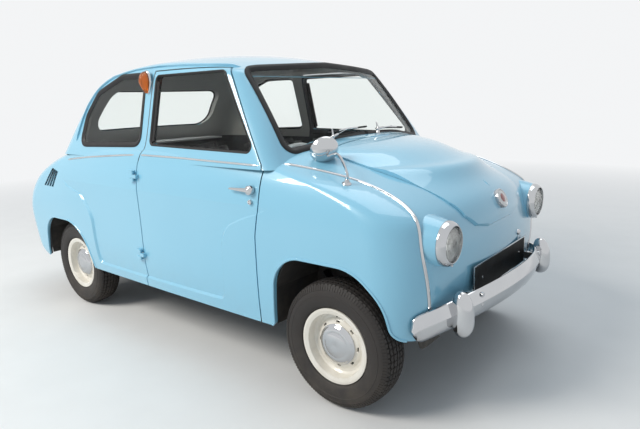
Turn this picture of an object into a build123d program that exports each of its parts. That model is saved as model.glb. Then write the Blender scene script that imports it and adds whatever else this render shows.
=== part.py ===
from build123d import *
from math import radians, tan
import os

os.makedirs("parts", exist_ok=True)

# Microcar: two-door saloon with its engine behind the rear axle.
# Millimetres. +X is forward, +Y is the car's left, +Z is up.
# The origin lies on the ground, midway along the length and the width.

# Overall sizes
LENGTH = 2900
HALF_LENGTH = LENGTH / 2
WHEELBASE = 1800
FRONT_AXLE_X = 980
REAR_AXLE_X = FRONT_AXLE_X - WHEELBASE
HALF_TRACK = 545

# Tyre and wheel
TYRE_R = 237
TYRE_HALF_WIDTH = 62
STUB_R = 14
RUNNING_GAP = 0.05

# Body shell
SHELL_WALL = 20
DOOR_WALL = 34
MOVING_GAP = 5.5
SEAT_GAP = 0.3
SILL_Z = 250
BELT_Z = 872
GLASS_DEPTH = 5
GLASS_THICKNESS = 5

# Steering
KINGPIN_Y = 480
KINGPIN_R = 11
STEER_ARM = 85

# Plan outlines of the lower body from the sills to the belt. The side, nose
# and tail are arcs that meet in four corners, and each corner is rounded.
# z, nose_x, front_x, front_y, half_width, rear_x, rear_y, tail_x, front_r, rear_r
LOWER_ROWS = [
    (225, 1275, 1205, 594, 618, -1262, 604, -1295, 160, 140),
    (330, 1335, 1262, 604, 627, -1345, 619, -1379, 170, 135),
    (450, 1347, 1274, 610, 633, -1362, 624, -1395, 175, 130),
    (560, 1346, 1272, 612, 634, -1354, 626, -1391, 175, 135),
    (640, 1335, 1258, 610, 633, -1314, 622, -1355, 170, 150),
    (700, 1316, 1234, 606, 630, -1256, 617, -1306, 165, 165),
    (750, 1268, 1152, 600, 626, -1165, 611, -1255, 165, 180),
    (800, 1180, 1000, 590, 620, -1030, 601, -1190, 170, 190),
    (850, 1060, 745, 575, 612, -860, 586, -1090, 170, 200),
    (885, 965, 600, 558, 604, -740, 568, -1010, 160, 200),
    (905, 880, 520, 538, 578, -660, 545, -930, 150, 190),
]

# Plan outlines of the windows and the roof's sides, in the same columns. The roof's
# crown closes them, so the last ones only carry the sides on upwards.
UPPER_ROWS = [
    (850, 800, 712, 603, 605, -893, 597, -1025, 70, 130),
    (950, 732, 646, 579, 581, -822, 572, -955, 80, 130),
    (1050, 662, 580, 553, 557, -750, 545, -878, 90, 130),
    (1150, 590, 508, 525, 533, -655, 517, -785, 100, 140),
    (1215, 540, 458, 506, 517, -575, 494, -706, 105, 150),
    (1262, 497, 417, 492, 505, -502, 474, -632, 110, 160),
    (1340, 424, 346, 466, 482, -380, 440, -500, 110, 160),
]

# The roof's crown: top, where it lies, and its curvature along and across the car
ROOF_TOP_X = -60
ROOF_TOP_Z = 1322
ROOF_LONG_R = 2380
ROOF_CROSS_R = 2600
ROOF_EDGE_R = 55
CROWN_SWEEP = 32

# The raised bonnet: z, nose_x, and a point x, y of the same outline near its edge
BONNET_ROWS = [
    (600, 1351, 1331, 200),
    (640, 1351, 1336, 209),
    (700, 1338, 1309, 270),
    (750, 1300, 1248, 300),
    (800, 1238, 1137, 325),
    (850, 1160, 952, 355),
    (885, 1062, 817, 369),
    (905, 995, 714, 378),
    (930, 850, 515, 396),
    (946, 719, 395, 396),
    (955, 610, 326, 396),
]
BONNET_HALF = 420


def plan_face(row, inset, drop):
    """Closed plan outline at one height, inset all round and lowered."""
    z, nose_x, front_x, front_y, half_w, rear_x, rear_y, tail_x, front_r, rear_r = row
    fx, fy = front_x - inset, front_y - inset
    rx, ry = rear_x + inset, rear_y - inset
    nose = ThreePointArc((fx, -fy), (nose_x - inset, 0), (fx, fy))
    left = ThreePointArc((fx, fy), ((fx + rx) / 2, half_w - inset), (rx, ry))
    tail = ThreePointArc((rx, ry), (tail_x + inset, 0), (rx, -ry))
    right = ThreePointArc((rx, -ry), ((fx + rx) / 2, -(half_w - inset)), (fx, -fy))
    face = make_face(nose + left + tail + right)
    front_corners = face.vertices().sort_by(Axis.X)[-2:]
    face = fillet(front_corners, max(front_r - inset, 8))
    rear_corners = face.vertices().sort_by(Axis.X)[:2]
    face = fillet(rear_corners, max(rear_r - inset, 8))
    return Pos(0, 0, z - drop) * face


def lower_volume(inset=0.0, drop=0.0):
    return loft([plan_face(row, inset, drop) for row in LOWER_ROWS])


def roof_crown(inset=0.0):
    """Everything under the roof's crown, as one barrel face."""
    half = 1500
    drop = ROOF_LONG_R - (ROOF_LONG_R ** 2 - half ** 2) ** 0.5
    top = ROOF_TOP_Z - inset
    arc = ThreePointArc((ROOF_TOP_X - half, top - drop), (ROOF_TOP_X, top), (ROOF_TOP_X + half, top - drop))
    base = Polyline((ROOF_TOP_X + half, top - drop), (ROOF_TOP_X + half, -200),
                    (ROOF_TOP_X - half, -200), (ROOF_TOP_X - half, top - drop))
    face = Plane(origin=(0, 0, 0), x_dir=(1, 0, 0), z_dir=(0, -1, 0)) * make_face(arc + base)
    axis = Axis((0, 0, ROOF_TOP_Z - ROOF_CROSS_R), (1, 0, 0))
    return revolve(face.rotate(axis, -CROWN_SWEEP / 2), axis, CROWN_SWEEP)


def upper_volume(inset=0.0, drop=0.0):
    """Windows and roof, closed by the crown."""
    sides = loft([plan_face(row, inset, drop) for row in UPPER_ROWS])
    return sides & roof_crown(inset)


def bonnet_volume(inset=0.0, drop=0.0):
    """The raised bonnet's crown, from its nose back under the windscreen."""
    sections = []
    for z, nose_x, edge_x, edge_y in BONNET_ROWS:
        bow = (nose_x - edge_x) * (BONNET_HALF / edge_y) ** 2
        corner_x = nose_x - bow - inset
        back_x = corner_x - 300
        arc = ThreePointArc((corner_x, -BONNET_HALF), (nose_x - inset, 0), (corner_x, BONNET_HALF))
        sides = Polyline((corner_x, BONNET_HALF), (back_x, BONNET_HALF), (back_x, -BONNET_HALF),
                         (corner_x, -BONNET_HALF))
        sections.append(Pos(0, 0, z - drop) * make_face(arc + sides))
    return loft(sections)


def soft_outline(points):
    """Closed outline through (x, z, radius) points, each corner rounded by its radius."""
    edges, ends = [], []
    count = len(points)
    for i, (x, z, r) in enumerate(points):
        here = Vector(x, z)
        before = (Vector(*points[i - 1][:2]) - here).normalized()
        after = (Vector(*points[(i + 1) % count][:2]) - here).normalized()
        if r == 0:
            ends.append((here, None, here))
            continue
        half = before.get_angle(after) / 2
        reach = r / tan(radians(half))
        middle = (before + after).normalized()
        centre = here + middle * (reach ** 2 + r ** 2) ** 0.5
        ends.append((here + before * reach, centre - middle * r, here + after * reach))
    for i, (start, top, end) in enumerate(ends):
        if top is not None:
            edges.append(ThreePointArc(start, top, end))
        nearest = ends[(i + 1) % count][0]
        if (nearest - end).length > 0.01:
            edges.append(Line(end, nearest))
    return make_face(Wire(edges))


def side_prism(points, radius, y_from, y_to, inset=0.0):
    """Prism along Y from an outline of (x, z) points, rounded by one radius or by each point's own."""
    own_radii = len(points[0]) == 3
    sketch = soft_outline(points) if own_radii else make_face(Polyline(*points, close=True))
    if radius:
        sketch = fillet(sketch.vertices(), radius)
    if inset:
        sketch = offset(sketch, -inset)
    plane = Plane(origin=(0, y_from, 0), x_dir=(1, 0, 0), z_dir=(0, -1, 0))
    return extrude(plane * sketch, y_from - y_to)


def front_prism(points, radius, x_from, x_to, inset=0.0):
    """Prism along X from an outline of (y, z) points, rounded as in side_prism."""
    own_radii = len(points[0]) == 3
    sketch = soft_outline(points) if own_radii else make_face(Polyline(*points, close=True))
    if radius:
        sketch = fillet(sketch.vertices(), radius)
    if inset:
        sketch = offset(sketch, -inset)
    plane = Plane(origin=(x_from, 0, 0), x_dir=(0, 1, 0), z_dir=(1, 0, 0))
    return extrude(plane * sketch, x_to - x_from)


def box(x0, x1, y0, y1, z0, z1):
    return Pos((x0 + x1) / 2, (y0 + y1) / 2, (z0 + z1) / 2) * Box(x1 - x0, y1 - y0, z1 - z0)


def rod(start, end, radius):
    """Round bar between two points."""
    a, b = Vector(*start), Vector(*end)
    axis = b - a
    return extrude(Plane(origin=a, z_dir=axis) * Circle(radius), axis.length)


def revolve_about_x(outline):
    """Round form from a half outline of (x, radius)."""
    return revolve(Plane(origin=(0, 0, 0), x_dir=(1, 0, 0), z_dir=(0, 0, 1)) * outline, Axis.X)


def dome(crown_x, edge_x, edge_r, back_x):
    """Round solid with part of a sphere as its front and a flat back."""
    rise = crown_x - edge_x
    ball_r = (edge_r ** 2 + rise ** 2) / (2 * rise)
    middle_r = edge_r / 2
    middle_x = crown_x - ball_r + (ball_r ** 2 - middle_r ** 2) ** 0.5
    arc = ThreePointArc((edge_x, edge_r), (middle_x, middle_r), (crown_x, 0))
    back = Polyline((crown_x, 0), (back_x, 0), (back_x, edge_r), (edge_x, edge_r))
    return revolve_about_x(make_face(arc + back))


def mirrored(part):
    return mirror(part, about=Plane.XZ)


def save(name, part):
    solids = part.solids()
    shape = solids[0] if len(solids) == 1 else Compound(children=[Solid(s.wrapped) for s in solids])
    export_step(shape, os.path.join("parts", name + ".step"))


# Side outlines on the skin, as (x, z)
# The door's sides are cut at a slant, wider outside, so that its free edge
# swings clear of the windscreen pillar.
DOOR_SLANT = 14
DOOR_PLANE_Y = 700
# x, z, half-width of the skin there, and the way outwards in x and z
DOOR_CORNERS = [
    (-79, 1246, 510, -1, 1),
    (-79, 930, 588, -1, 0),
    (-124, 835, 616, -1, 0),
    (-126, SILL_Z - 30, 622, -1, -1),
    (640, SILL_Z - 30, 622, 1, -1),
    (644, 600, 632, 1, 0),
    (664, 720, 628, 1, 0),
    (673, 868, 606, 1, 0),
    (402, 1246, 510, 0.8, 1),
]
DOOR_WINDOW = [(-47, 920), (623, 908), (393, 1221), (-53, 1221)]
QUARTER_WINDOW = [(-664, 906), (-131, 921), (-140, 1228), (-353, 1228), (-553, 1160), (-640, 1045)]
# Outline of what is cut away below the body: x, z and the radius of the corner
UNDERSIDE = [
    (-1600, 100, 0), (-1600, 236, 0), (-1150, 236, 20), (-1110, 420, 140), (-1035, 490, 140),
    (-790, 490, 210), (-665, 410, 210), (-606, SILL_Z, 22), (704, SILL_Z, 22), (724, 470, 130),
    (800, 545, 130), (1080, 545, 180), (1190, 450, 170), (1214, 322, 55), (1300, 303, 60),
    (1600, 303, 0), (1600, 100, 0),
]
# The sunk panel of the door and the quarter: x, z, half-width of the skin there, the way
# outwards in x and z, and the corner's radius
SUNK_PANEL = [
    (-548, 290, 622, -1, -1, 60),
    (-562, 530, 629, -1, 0, 90),
    (-650, 640, 622, -1, 0.3, 90),
    (-900, 690, 612, -1, 0, 20),
    (-900, 860, 600, -1, 1, 20),
    (760, 860, 600, 1, 1, 20),
    (760, 700, 622, 1, 0, 20),
    (598, 664, 629, 0.5, -1, 90),
    (455, 610, 633, 1, -0.4, 110),
    (436, 290, 623, 1, -1, 60),
]
SUNK_PLANE_Y = 640
SUNK_SLANT = 52
# z and depth of the sunk panel: it runs out below the belt
SUNK_DEPTHS = {225: 9, 330: 9, 450: 9, 560: 9, 640: 6, 700: 1.5, 750: -4, 800: -6, 850: -8, 885: -8, 905: -8}
FRONT_FLOOR_Z = 400
FLOOR_Z = 262
FLOOR_T = 8
TOE_X = 850
TOE_TOP_X = 930

LAMP_Y = 426
LAMP_Z = 629
LAMP_HOLE_R = 65


def slanted_prism(corners, plane_y, slant, depth, gap=0.0):
    """Right-hand prism whose sides lean, so that it is wider outside than inside."""
    spread = tan(radians(slant))
    points = []
    for x, z, skin_y, out_x, out_z, radius in corners:
        grow = (plane_y - skin_y) * spread - gap
        points.append((x + out_x * grow, -(z + out_z * grow), radius))
    plane = Plane(origin=(0, -plane_y, 0), x_dir=(1, 0, 0), z_dir=(0, 1, 0))
    return extrude(plane * soft_outline(points), depth, taper=slant)


def door_prism(gap=0.0):
    corners = [corner + (30,) for corner in DOOR_CORNERS]
    return slanted_prism(corners, DOOR_PLANE_Y, DOOR_SLANT, 320, gap)


def tongue_prism(inset=0.0):
    """The bonnet's outline, seen along the slope of the nose."""
    # half-width, and how far along (z - x) / sqrt(2)
    half = [(400, 260), (352, -100), (326, -240), (294, -376), (262, -443), (205, -484), (110, -504)]
    right = [(-y, s) for y, s in half]
    left = [(y, s) for y, s in reversed(half)]
    sketch = make_face(Polyline(*(right + left), close=True))
    if inset:
        sketch = offset(sketch, -inset)
    plane = Plane(origin=(0, 0, 0), x_dir=(0, 1, 0), z_dir=(1, 0, 1))
    return extrude(plane * sketch, 2200)


# Shared volumes
lower = lower_volume()
upper = upper_volume()
crown_edges = upper.faces().sort_by(Axis.Z)[-1].edges()
upper = fillet(crown_edges, ROOF_EDGE_R)

# The sunk panel is cut down to a floor that comes up to the skin under the belt
sunk_floor = loft([plan_face(row, SUNK_DEPTHS[row[0]], 0) for row in LOWER_ROWS])
sunk_cut = slanted_prism(SUNK_PANEL, SUNK_PLANE_Y, SUNK_SLANT, 30) - sunk_floor
lower = lower - sunk_cut - mirrored(sunk_cut)
cabin_lower = lower_volume(SHELL_WALL, SHELL_WALL)
cabin_upper = upper_volume(SHELL_WALL, SHELL_WALL)
cabin = cabin_lower + cabin_upper
bonnet_crown = bonnet_volume() & tongue_prism()
COWL_X = 795
cowl_crown = bonnet_crown & box(0, COWL_X, -700, 700, 800, 1000)
# Pods that carry the headlamps: x and radius of their outline
POD_FACE_X, POD_FACE_R = 1322, 76
pod_arc = ThreePointArc((POD_FACE_X, POD_FACE_R), (1262, 89), (1130, 98))
pod_face = make_face(pod_arc + Polyline((1130, 98), (1130, 0), (POD_FACE_X, 0), (POD_FACE_X, POD_FACE_R)))
pod = revolve_about_x(pod_face)
pods = Pos(0, LAMP_Y, LAMP_Z) * pod + Pos(0, -LAMP_Y, LAMP_Z) * pod
skin = lower + pods + upper + cowl_crown
shell = skin - cabin

right_door_hole = door_prism()
left_door_hole = mirrored(right_door_hole)
shell = shell - right_door_hole - left_door_hole
underside = side_prism(UNDERSIDE, 0, 800, -800)
shell = shell - underside
quarter_hole = side_prism(QUARTER_WINDOW, 30, 700, -700)
shell = shell - quarter_hole

# Slots that let air into the engine's space: the row's lower and upper ends, as (x, z)
SLOT_FOOT = ((-1080, 666), (-958, 664))
SLOT_HEAD = ((-972, 769), (-902, 751))
SLOT_COUNT = 4
SLOT_HALF = 6.5


def between(ends, share):
    return tuple(a + (b - a) * share for a, b in zip(*ends))


for i in range(SLOT_COUNT):
    share = (i + 0.5) / SLOT_COUNT
    (x0, z0), (x1, z1) = between(SLOT_FOOT, share), between(SLOT_HEAD, share)
    slot = [(x0 - SLOT_HALF, z0), (x0 + SLOT_HALF, z0), (x1 + SLOT_HALF, z1), (x1 - SLOT_HALF, z1)]
    shell = shell - side_prism(slot, 3, 700, -700)

# Windscreen and rear window openings, as (y, z)
WINDSCREEN = [(-486, 906), (-300, 930), (0, 944), (300, 930), (486, 906), (452, 1222), (0, 1244), (-452, 1222)]
REAR_WINDOW = [(-420, 955), (420, 955), (375, 1175), (-375, 1175)]
windscreen_hole = front_prism(WINDSCREEN, 30, 380, 900) - bonnet_volume()
rear_window_hole = front_prism(REAR_WINDOW, 70, -1100, -600)
shell = shell - windscreen_hole - rear_window_hole

# Engine lid opening, as (y, z), and the hinge at its top edge
LID_OUTLINE = [(-400, 588), (400, 588), (345, 800), (-345, 800)]
lid_hole = front_prism(LID_OUTLINE, 55, -1500, -1000)
shell = shell - lid_hole

# Opening under the bonnet, inside a ledge that the bonnet rests on
BONNET_LEDGE = 26
bonnet_hole = tongue_prism(BONNET_LEDGE) & box(COWL_X + 30, 1500, -500, 500, 640, 1000)
shell = shell - bonnet_hole

# The rear tyre's front edge lies behind the skin, which is dished out for it
TYRE_OUT_Y = HALF_TRACK + TYRE_HALF_WIDTH
for side in (-1, 1):
    shell = shell - rod((REAR_AXLE_X, side * 450, TYRE_R), (REAR_AXLE_X, side * (TYRE_OUT_Y + 6), TYRE_R), TYRE_R + 12)

# Holes that the headlamp bowls pass through
for side in (-1, 1):
    shell = shell - rod((1200, side * LAMP_Y, LAMP_Z), (1400, side * LAMP_Y, LAMP_Z), LAMP_HOLE_R)

# Hinge of the bonnet, half sunk in its rear edge
BONNET_HINGE_X, BONNET_HINGE_Z = 798, 936
BONNET_HINGE_Y = 30
BONNET_HINGE_R = 4.5


def bonnet_barrel(low, high, radius):
    return rod((BONNET_HINGE_X, low, BONNET_HINGE_Z), (BONNET_HINGE_X, high, BONNET_HINGE_Z), radius)


shell = shell - bonnet_barrel(-BONNET_HINGE_Y - 1, BONNET_HINGE_Y + 1, BONNET_HINGE_R + 1)
for side in (-1, 1):
    low, high = sorted((side * (BONNET_HINGE_Y + 1.5), side * (BONNET_HINGE_Y + 39)))
    shell += bonnet_barrel(low, high, BONNET_HINGE_R)

ROOF_ZONE = [(-1500, BELT_Z), (640, BELT_Z), (690, 900), (790, 962), (790, 1400), (-1500, 1400)]
FRONT_ZONE = [(500, 100), (500, BELT_Z), (640, BELT_Z), (690, 900), (790, 962), (1500, 962), (1500, 100)]
roof = shell & side_prism(ROOF_ZONE, 0, 700, -700)
front_body = shell & side_prism(FRONT_ZONE, 0, 700, -700)
rear_body = shell & box(-1500, 500, -700, 700, 100, BELT_Z)

HINGE_X = -136
HINGE_Y = 634.5
HINGE_R = 5.5
HINGE_ZS = (406, 779)
HINGE_HALF = 8.5
HINGE_END = 25


def hinge_bars(side, low, high, radius):
    """Barrels of both hinges on one side, between two heights from the middle."""
    y = side * HINGE_Y
    bars = Part()
    for z in HINGE_ZS:
        bars += rod((HINGE_X, y, z + low), (HINGE_X, y, z + high), radius)
    return bars


for side in (-1, 1):
    rear_body = rear_body - hinge_bars(side, -HINGE_HALF - 1, HINGE_HALF + 1, HINGE_R + 1)
    for low, high in ((-HINGE_END, -HINGE_HALF - 0.5), (HINGE_HALF + 0.5, HINGE_END)):
        rear_body += hinge_bars(side, low, high, HINGE_R)
        for z in HINGE_ZS:
            ys = sorted((side * (HINGE_Y + HINGE_R), side * (HINGE_Y - 22)))
            rear_body += box(HINGE_X - 26, HINGE_X, *ys, z + low, z + high)

# Hinges of the engine lid, above its top edge
LID_HINGE_X = -1186
LID_HINGE_Z = 808
LID_HINGE_Y = 200
LID_HINGE_R = 6
LID_HINGE_GAP = 0.2
for side in (-1, 1):
    ys = sorted((side * (LID_HINGE_Y - 25), side * (LID_HINGE_Y - LID_HINGE_GAP)))
    rear_body += rod((LID_HINGE_X, ys[0], LID_HINGE_Z), (LID_HINGE_X, ys[1], LID_HINGE_Z), LID_HINGE_R)
    rear_body += box(LID_HINGE_X, LID_HINGE_X + 34, *ys, LID_HINGE_Z - 6, LID_HINGE_Z + 4) - cabin

save("roof", roof)
save("front_body", front_body)
save("rear_body", rear_body)
print("shell saved")


# Doors
door_cabin = lower_volume(DOOR_WALL, 0) + upper_volume(DOOR_WALL, 0)
door_skin = (lower + upper) & door_prism(MOVING_GAP)
door = door_skin - door_cabin
door = door - underside
door_window_hole = side_prism(DOOR_WINDOW, 22, 0, -700)
door_panel = door - door_window_hole
door_panel = door_panel - hinge_bars(-1, -HINGE_END - 2, HINGE_END + 2, HINGE_R + 2)
door_panel += hinge_bars(-1, -HINGE_HALF, HINGE_HALF, HINGE_R)
for z in HINGE_ZS:
    low, high = z - HINGE_HALF, z + HINGE_HALF
    door_panel += box(HINGE_X, HINGE_X + 30, -HINGE_Y - HINGE_R, -HINGE_Y + 0.5, low, high)
    door_panel += box(HINGE_X + 15, HINGE_X + 30, -HINGE_Y - HINGE_R, -HINGE_Y + 22, low, high)

glass_band = upper_volume(GLASS_DEPTH, 0) - upper_volume(GLASS_DEPTH + GLASS_THICKNESS, 0)
door_glass = glass_band & side_prism(DOOR_WINDOW, 22, 0, -700, SEAT_GAP)
quarter_band = side_prism(QUARTER_WINDOW, 30, 700, -700, SEAT_GAP)
quarter_glass = glass_band & quarter_band
windscreen = glass_band & front_prism(WINDSCREEN, 30, 380, 900, SEAT_GAP)
windscreen = windscreen - bonnet_volume(-SEAT_GAP, -SEAT_GAP)
rear_window = glass_band & front_prism(REAR_WINDOW, 70, -1100, -600, SEAT_GAP)

HANDLE_Z = 775
HANDLE_X = 622
HANDLE_OUT_Y = 628
handle = rod((HANDLE_X, -600, HANDLE_Z), (HANDLE_X, -HANDLE_OUT_Y, HANDLE_Z), 18)
handle += box(HANDLE_X - 105, HANDLE_X, -HANDLE_OUT_Y - 7, -HANDLE_OUT_Y + 1, HANDLE_Z - 9, HANDLE_Z + 9)
handle = handle - lower_volume(-SEAT_GAP, 0)

save("door_panel_right", door_panel)
save("door_panel_left", mirrored(door_panel))
save("door_glass_right", door_glass)
save("door_glass_left", mirrored(door_glass))
save("door_handle_right", handle)
save("door_handle_left", mirrored(handle))
save("quarter_windows", quarter_glass)
save("windscreen", windscreen)
save("rear_window", rear_window)
print("doors and glass saved")

# Engine lid
lid_shell = lower - cabin_lower
engine_lid = lid_shell & front_prism(LID_OUTLINE, 55, -1500, -1000, MOVING_GAP)
for side in (-1, 1):
    ys = sorted((side * (LID_HINGE_Y + LID_HINGE_GAP), side * (LID_HINGE_Y + 25)))
    engine_lid += rod((LID_HINGE_X, ys[0], LID_HINGE_Z), (LID_HINGE_X, ys[1], LID_HINGE_Z), LID_HINGE_R)
    engine_lid += box(LID_HINGE_X - 6, LID_HINGE_X + 7, *ys, LID_HINGE_Z - 30, LID_HINGE_Z)
save("engine_lid", engine_lid)

# Bonnet
BONNET_SKIN = 14
bonnet = bonnet_crown & box(COWL_X + MOVING_GAP, 1500, -700, 700, 500, 1000)
bonnet = bonnet - lower_volume(-0.5, -0.5) - bonnet_volume(BONNET_SKIN, BONNET_SKIN - 3)
for side in (-1, 1):
    low, high = sorted((side * (BONNET_HINGE_Y + 1), side * (BONNET_HINGE_Y + 40)))
    bonnet = bonnet - bonnet_barrel(low, high, BONNET_HINGE_R + 1)
bonnet += bonnet_barrel(-BONNET_HINGE_Y, BONNET_HINGE_Y, BONNET_HINGE_R)
save("bonnet", bonnet)
nose_badge = rod((1330, 0, 706), (1344, 0, 713), 38) - bonnet_volume(-SEAT_GAP, 0)
save("nose_badge", nose_badge)
print("lids saved")

# Floor, toe board, nose floor and wheelhouses as one pressing
inside = lower_volume(SHELL_WALL + SEAT_GAP, SHELL_WALL)
floor_limit = lower_volume(DOOR_WALL + MOVING_GAP + 4, 0)
profile = [
    (-500, FLOOR_Z), (TOE_X, FLOOR_Z), (TOE_TOP_X, FRONT_FLOOR_Z), (1500, FRONT_FLOOR_Z),
    (1500, FRONT_FLOOR_Z - FLOOR_T), (TOE_TOP_X + 5, FRONT_FLOOR_Z - FLOOR_T),
    (TOE_X + 6, FLOOR_Z - FLOOR_T), (-500, FLOOR_Z - FLOOR_T),
]
HOUSE_IN_Y = 335
floor = side_prism(profile, 0, HOUSE_IN_Y + FLOOR_T, -HOUSE_IN_Y - FLOOR_T)
floor += box(-500, 690, -700, 700, FLOOR_Z - FLOOR_T, FLOOR_Z)
seat_pan = [
    (-500, FLOOR_Z - FLOOR_T), (-500, 430), (-505, 440), (-1000, 560), (-1000, 552), (-512, 432),
    (-508, 428), (-508, FLOOR_Z - FLOOR_T),
]
floor += side_prism(seat_pan, 0, 700, -700)


FRONT_HOUSE = [(700, 180), (700, 400), (765, 520), (860, 566), (1120, 566), (1215, 510), (1264, 420), (1264, 180)]
REAR_HOUSE = [(-1150, 160), (-1130, 410), (-1060, 512), (-760, 512), (-640, 440), (-560, 300), (-560, 160)]
HOUSE_T = 5


def house_hollow(outline):
    """The right-hand wheel's space inside its arch."""
    sketch = offset(make_face(Polyline(*outline, close=True)), -HOUSE_T)
    plane = Plane(origin=(0, -HOUSE_IN_Y - HOUSE_T, 0), x_dir=(1, 0, 0), z_dir=(0, -1, 0))
    return extrude(plane * sketch, 400)


def wheelhouse(outline):
    """A thin arch over the right-hand wheel with a wall on its inner side."""
    return side_prism(outline, 0, -HOUSE_IN_Y, -700) - house_hollow(outline)


front_low = box(600, 1500, -700, 700, 0, FLOOR_Z - FLOOR_T)
front_under = side_prism([(TOE_X, 0), (TOE_X, FLOOR_Z - FLOOR_T), (TOE_TOP_X, FRONT_FLOOR_Z - FLOOR_T),
                          (1500, FRONT_FLOOR_Z - FLOOR_T), (1500, 0)], 0, HOUSE_IN_Y + 6, -HOUSE_IN_Y - 6)
for outline in (FRONT_HOUSE, REAR_HOUSE):
    hollow = house_hollow(outline)
    floor = floor - hollow - mirrored(hollow)
front_house = wheelhouse(FRONT_HOUSE) - front_low - front_under
rear_house = wheelhouse(REAR_HOUSE) - box(-1300, -500, -700, 700, 0, SILL_Z)
floor += front_house + mirrored(front_house) + rear_house + mirrored(rear_house)
# Notches that the rear axle tubes pass through
floor = floor - rod((REAR_AXLE_X, -500, TYRE_R), (REAR_AXLE_X, 500, TYRE_R), 40)
floor = floor & inside
floor = floor - (box(-150, 660, -700, 700, 0, 1000) - floor_limit)
save("floor_pan", floor)
print("floor saved")

# Cabin
dash_points = [(600, 740), (596, 800), (612, 862), (660, 880), (720, 880), (720, 740)]
dashboard = side_prism(dash_points, 0, 700, -700) & inside
dashboard = dashboard - (box(500, 692, -700, 700, 600, 1000) - lower_volume(DOOR_WALL + 8, 0))
save("dashboard", dashboard)

WHEEL_Y = -270
WHEEL_AT = Vector(430, WHEEL_Y, 770)
COLUMN_END = Vector(897, WHEEL_Y, 333)
column_dir = (COLUMN_END - WHEEL_AT).normalized()
column_end = WHEEL_AT + column_dir * 620
column_start = WHEEL_AT + column_dir * 36.3
column = rod(tuple(column_start), tuple(column_end), 17)
bracket_at = WHEEL_AT + column_dir * 275
column += box(bracket_at.X - 12, bracket_at.X + 12, WHEEL_Y - 18, WHEEL_Y + 18, bracket_at.Z, 740 - SEAT_GAP)
column = column - floor
save("steering_column", column)

wheel_plane = Plane(origin=WHEEL_AT, z_dir=column_dir)
rim_torus = wheel_plane * Torus(190, 11)
spokes = wheel_plane * Cylinder(32, 26)
spoke = wheel_plane * Box(372, 22, 8)
steering_wheel = rim_torus + spokes + spoke
shaft = rod(tuple(WHEEL_AT), tuple(WHEEL_AT + column_dir * 36), 12)
steering_wheel = steering_wheel + shaft
save("steering_wheel", steering_wheel)

SEAT_Y = 262
SEAT_HALF = 215
cushions, backs, frames = Part(), Part(), Part()
for side in (-1, 1):
    y0, y1 = side * SEAT_Y - SEAT_HALF, side * SEAT_Y + SEAT_HALF
    cushion = box(-40, 400, y0, y1, 370, 480)
    cushions += fillet(cushion.edges(), 26)
    back = Pos(-92, side * SEAT_Y, 690) * Rot(0, -12, 0) * Box(90, 2 * SEAT_HALF, 420)
    backs += fillet(back.edges(), 26)
    frames += box(-76, 370, y0 + 40, y0 + 60, FLOOR_Z + SEAT_GAP, 370 - SEAT_GAP)
    frames += box(-76, 370, y1 - 60, y1 - 40, FLOOR_Z + SEAT_GAP, 370 - SEAT_GAP)
    frames += box(-20, 10, y0 + 40, y1 - 40, 350, 370 - SEAT_GAP)
    frames += box(-76, -56, y0 + 40, y1 - 40, 350, 479.8)
save("front_seat_cushions", cushions)
save("front_seat_backs", backs)
save("seat_frames", frames)

rear_cushion = side_prism([(-420, 440.3), (-420, 560), (-800, 600), (-800, 511.9), (-505, 440.3)], 0, 330, -330)
save("rear_seat_cushion", rear_cushion)
rear_back = side_prism([(-700, 589.9), (-775, 597.8), (-815, 845), (-745, 862)], 0, 425, -425)
save("rear_seat_back", rear_back)

LEVER_X = 470
gear_lever = rod((LEVER_X, 0, FLOOR_Z + 10), (LEVER_X - 40, 0, 560), 6)
gear_lever += rod((LEVER_X, 0, FLOOR_Z + SEAT_GAP), (LEVER_X, 0, FLOOR_Z + 20), 28)
gear_lever += Pos(LEVER_X - 40, 0, 566) * Sphere(18)
save("gear_lever", gear_lever)
print("cabin saved")

# Front axle: cross tube with a fork and kingpin at each end, and the rack's housing
RACK_X, RACK_Z, RACK_R = FRONT_AXLE_X + 88, 268, 12
FORK_WEB = 44
TUBE_END = KINGPIN_Y - FORK_WEB
front_axle = rod((FRONT_AXLE_X, -TUBE_END, TYRE_R), (FRONT_AXLE_X, TUBE_END, TYRE_R), 22)
for side in (-1, 1):
    y = side * KINGPIN_Y
    web = side * (KINGPIN_Y - FORK_WEB)
    front_axle += box(FRONT_AXLE_X - 20, FRONT_AXLE_X + 20, web - 8, web + 8, TYRE_R - 58, TYRE_R + 58)
    for low in (TYRE_R - 58, TYRE_R + 44):
        ear = box(FRONT_AXLE_X - 20, FRONT_AXLE_X + 20, min(web, y), max(web, y), low, low + 14)
        ear += rod((FRONT_AXLE_X, y, low), (FRONT_AXLE_X, y, low + 14), 20)
        front_axle += ear
    front_axle += rod((FRONT_AXLE_X, y, TYRE_R - 60), (FRONT_AXLE_X, y, TYRE_R + 60), KINGPIN_R)
    mount_y = side * 180
    front_axle += box(FRONT_AXLE_X - 30, FRONT_AXLE_X + 30, mount_y - 25, mount_y + 25,
                      TYRE_R, FRONT_FLOOR_Z - FLOOR_T - SEAT_GAP)
    front_axle += box(FRONT_AXLE_X, RACK_X, mount_y - 12, mount_y + 12, RACK_Z - 14, RACK_Z + 14)
housing = rod((RACK_X, -200, RACK_Z), (RACK_X, 200, RACK_Z), 22)
front_axle += housing
rack_bore = rod((RACK_X, -300, RACK_Z), (RACK_X, 300, RACK_Z), RACK_R + RUNNING_GAP)
front_axle = front_axle - rack_bore
save("front_axle", front_axle)

rack = rod((RACK_X, -458, RACK_Z), (RACK_X, 458, RACK_Z), RACK_R)
save("steering_rack", rack)

SLEEVE_HALF = 43
ARM_Y = KINGPIN_Y - 18
PLATE_Y = 506
STUB_END_Y = 572


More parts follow.
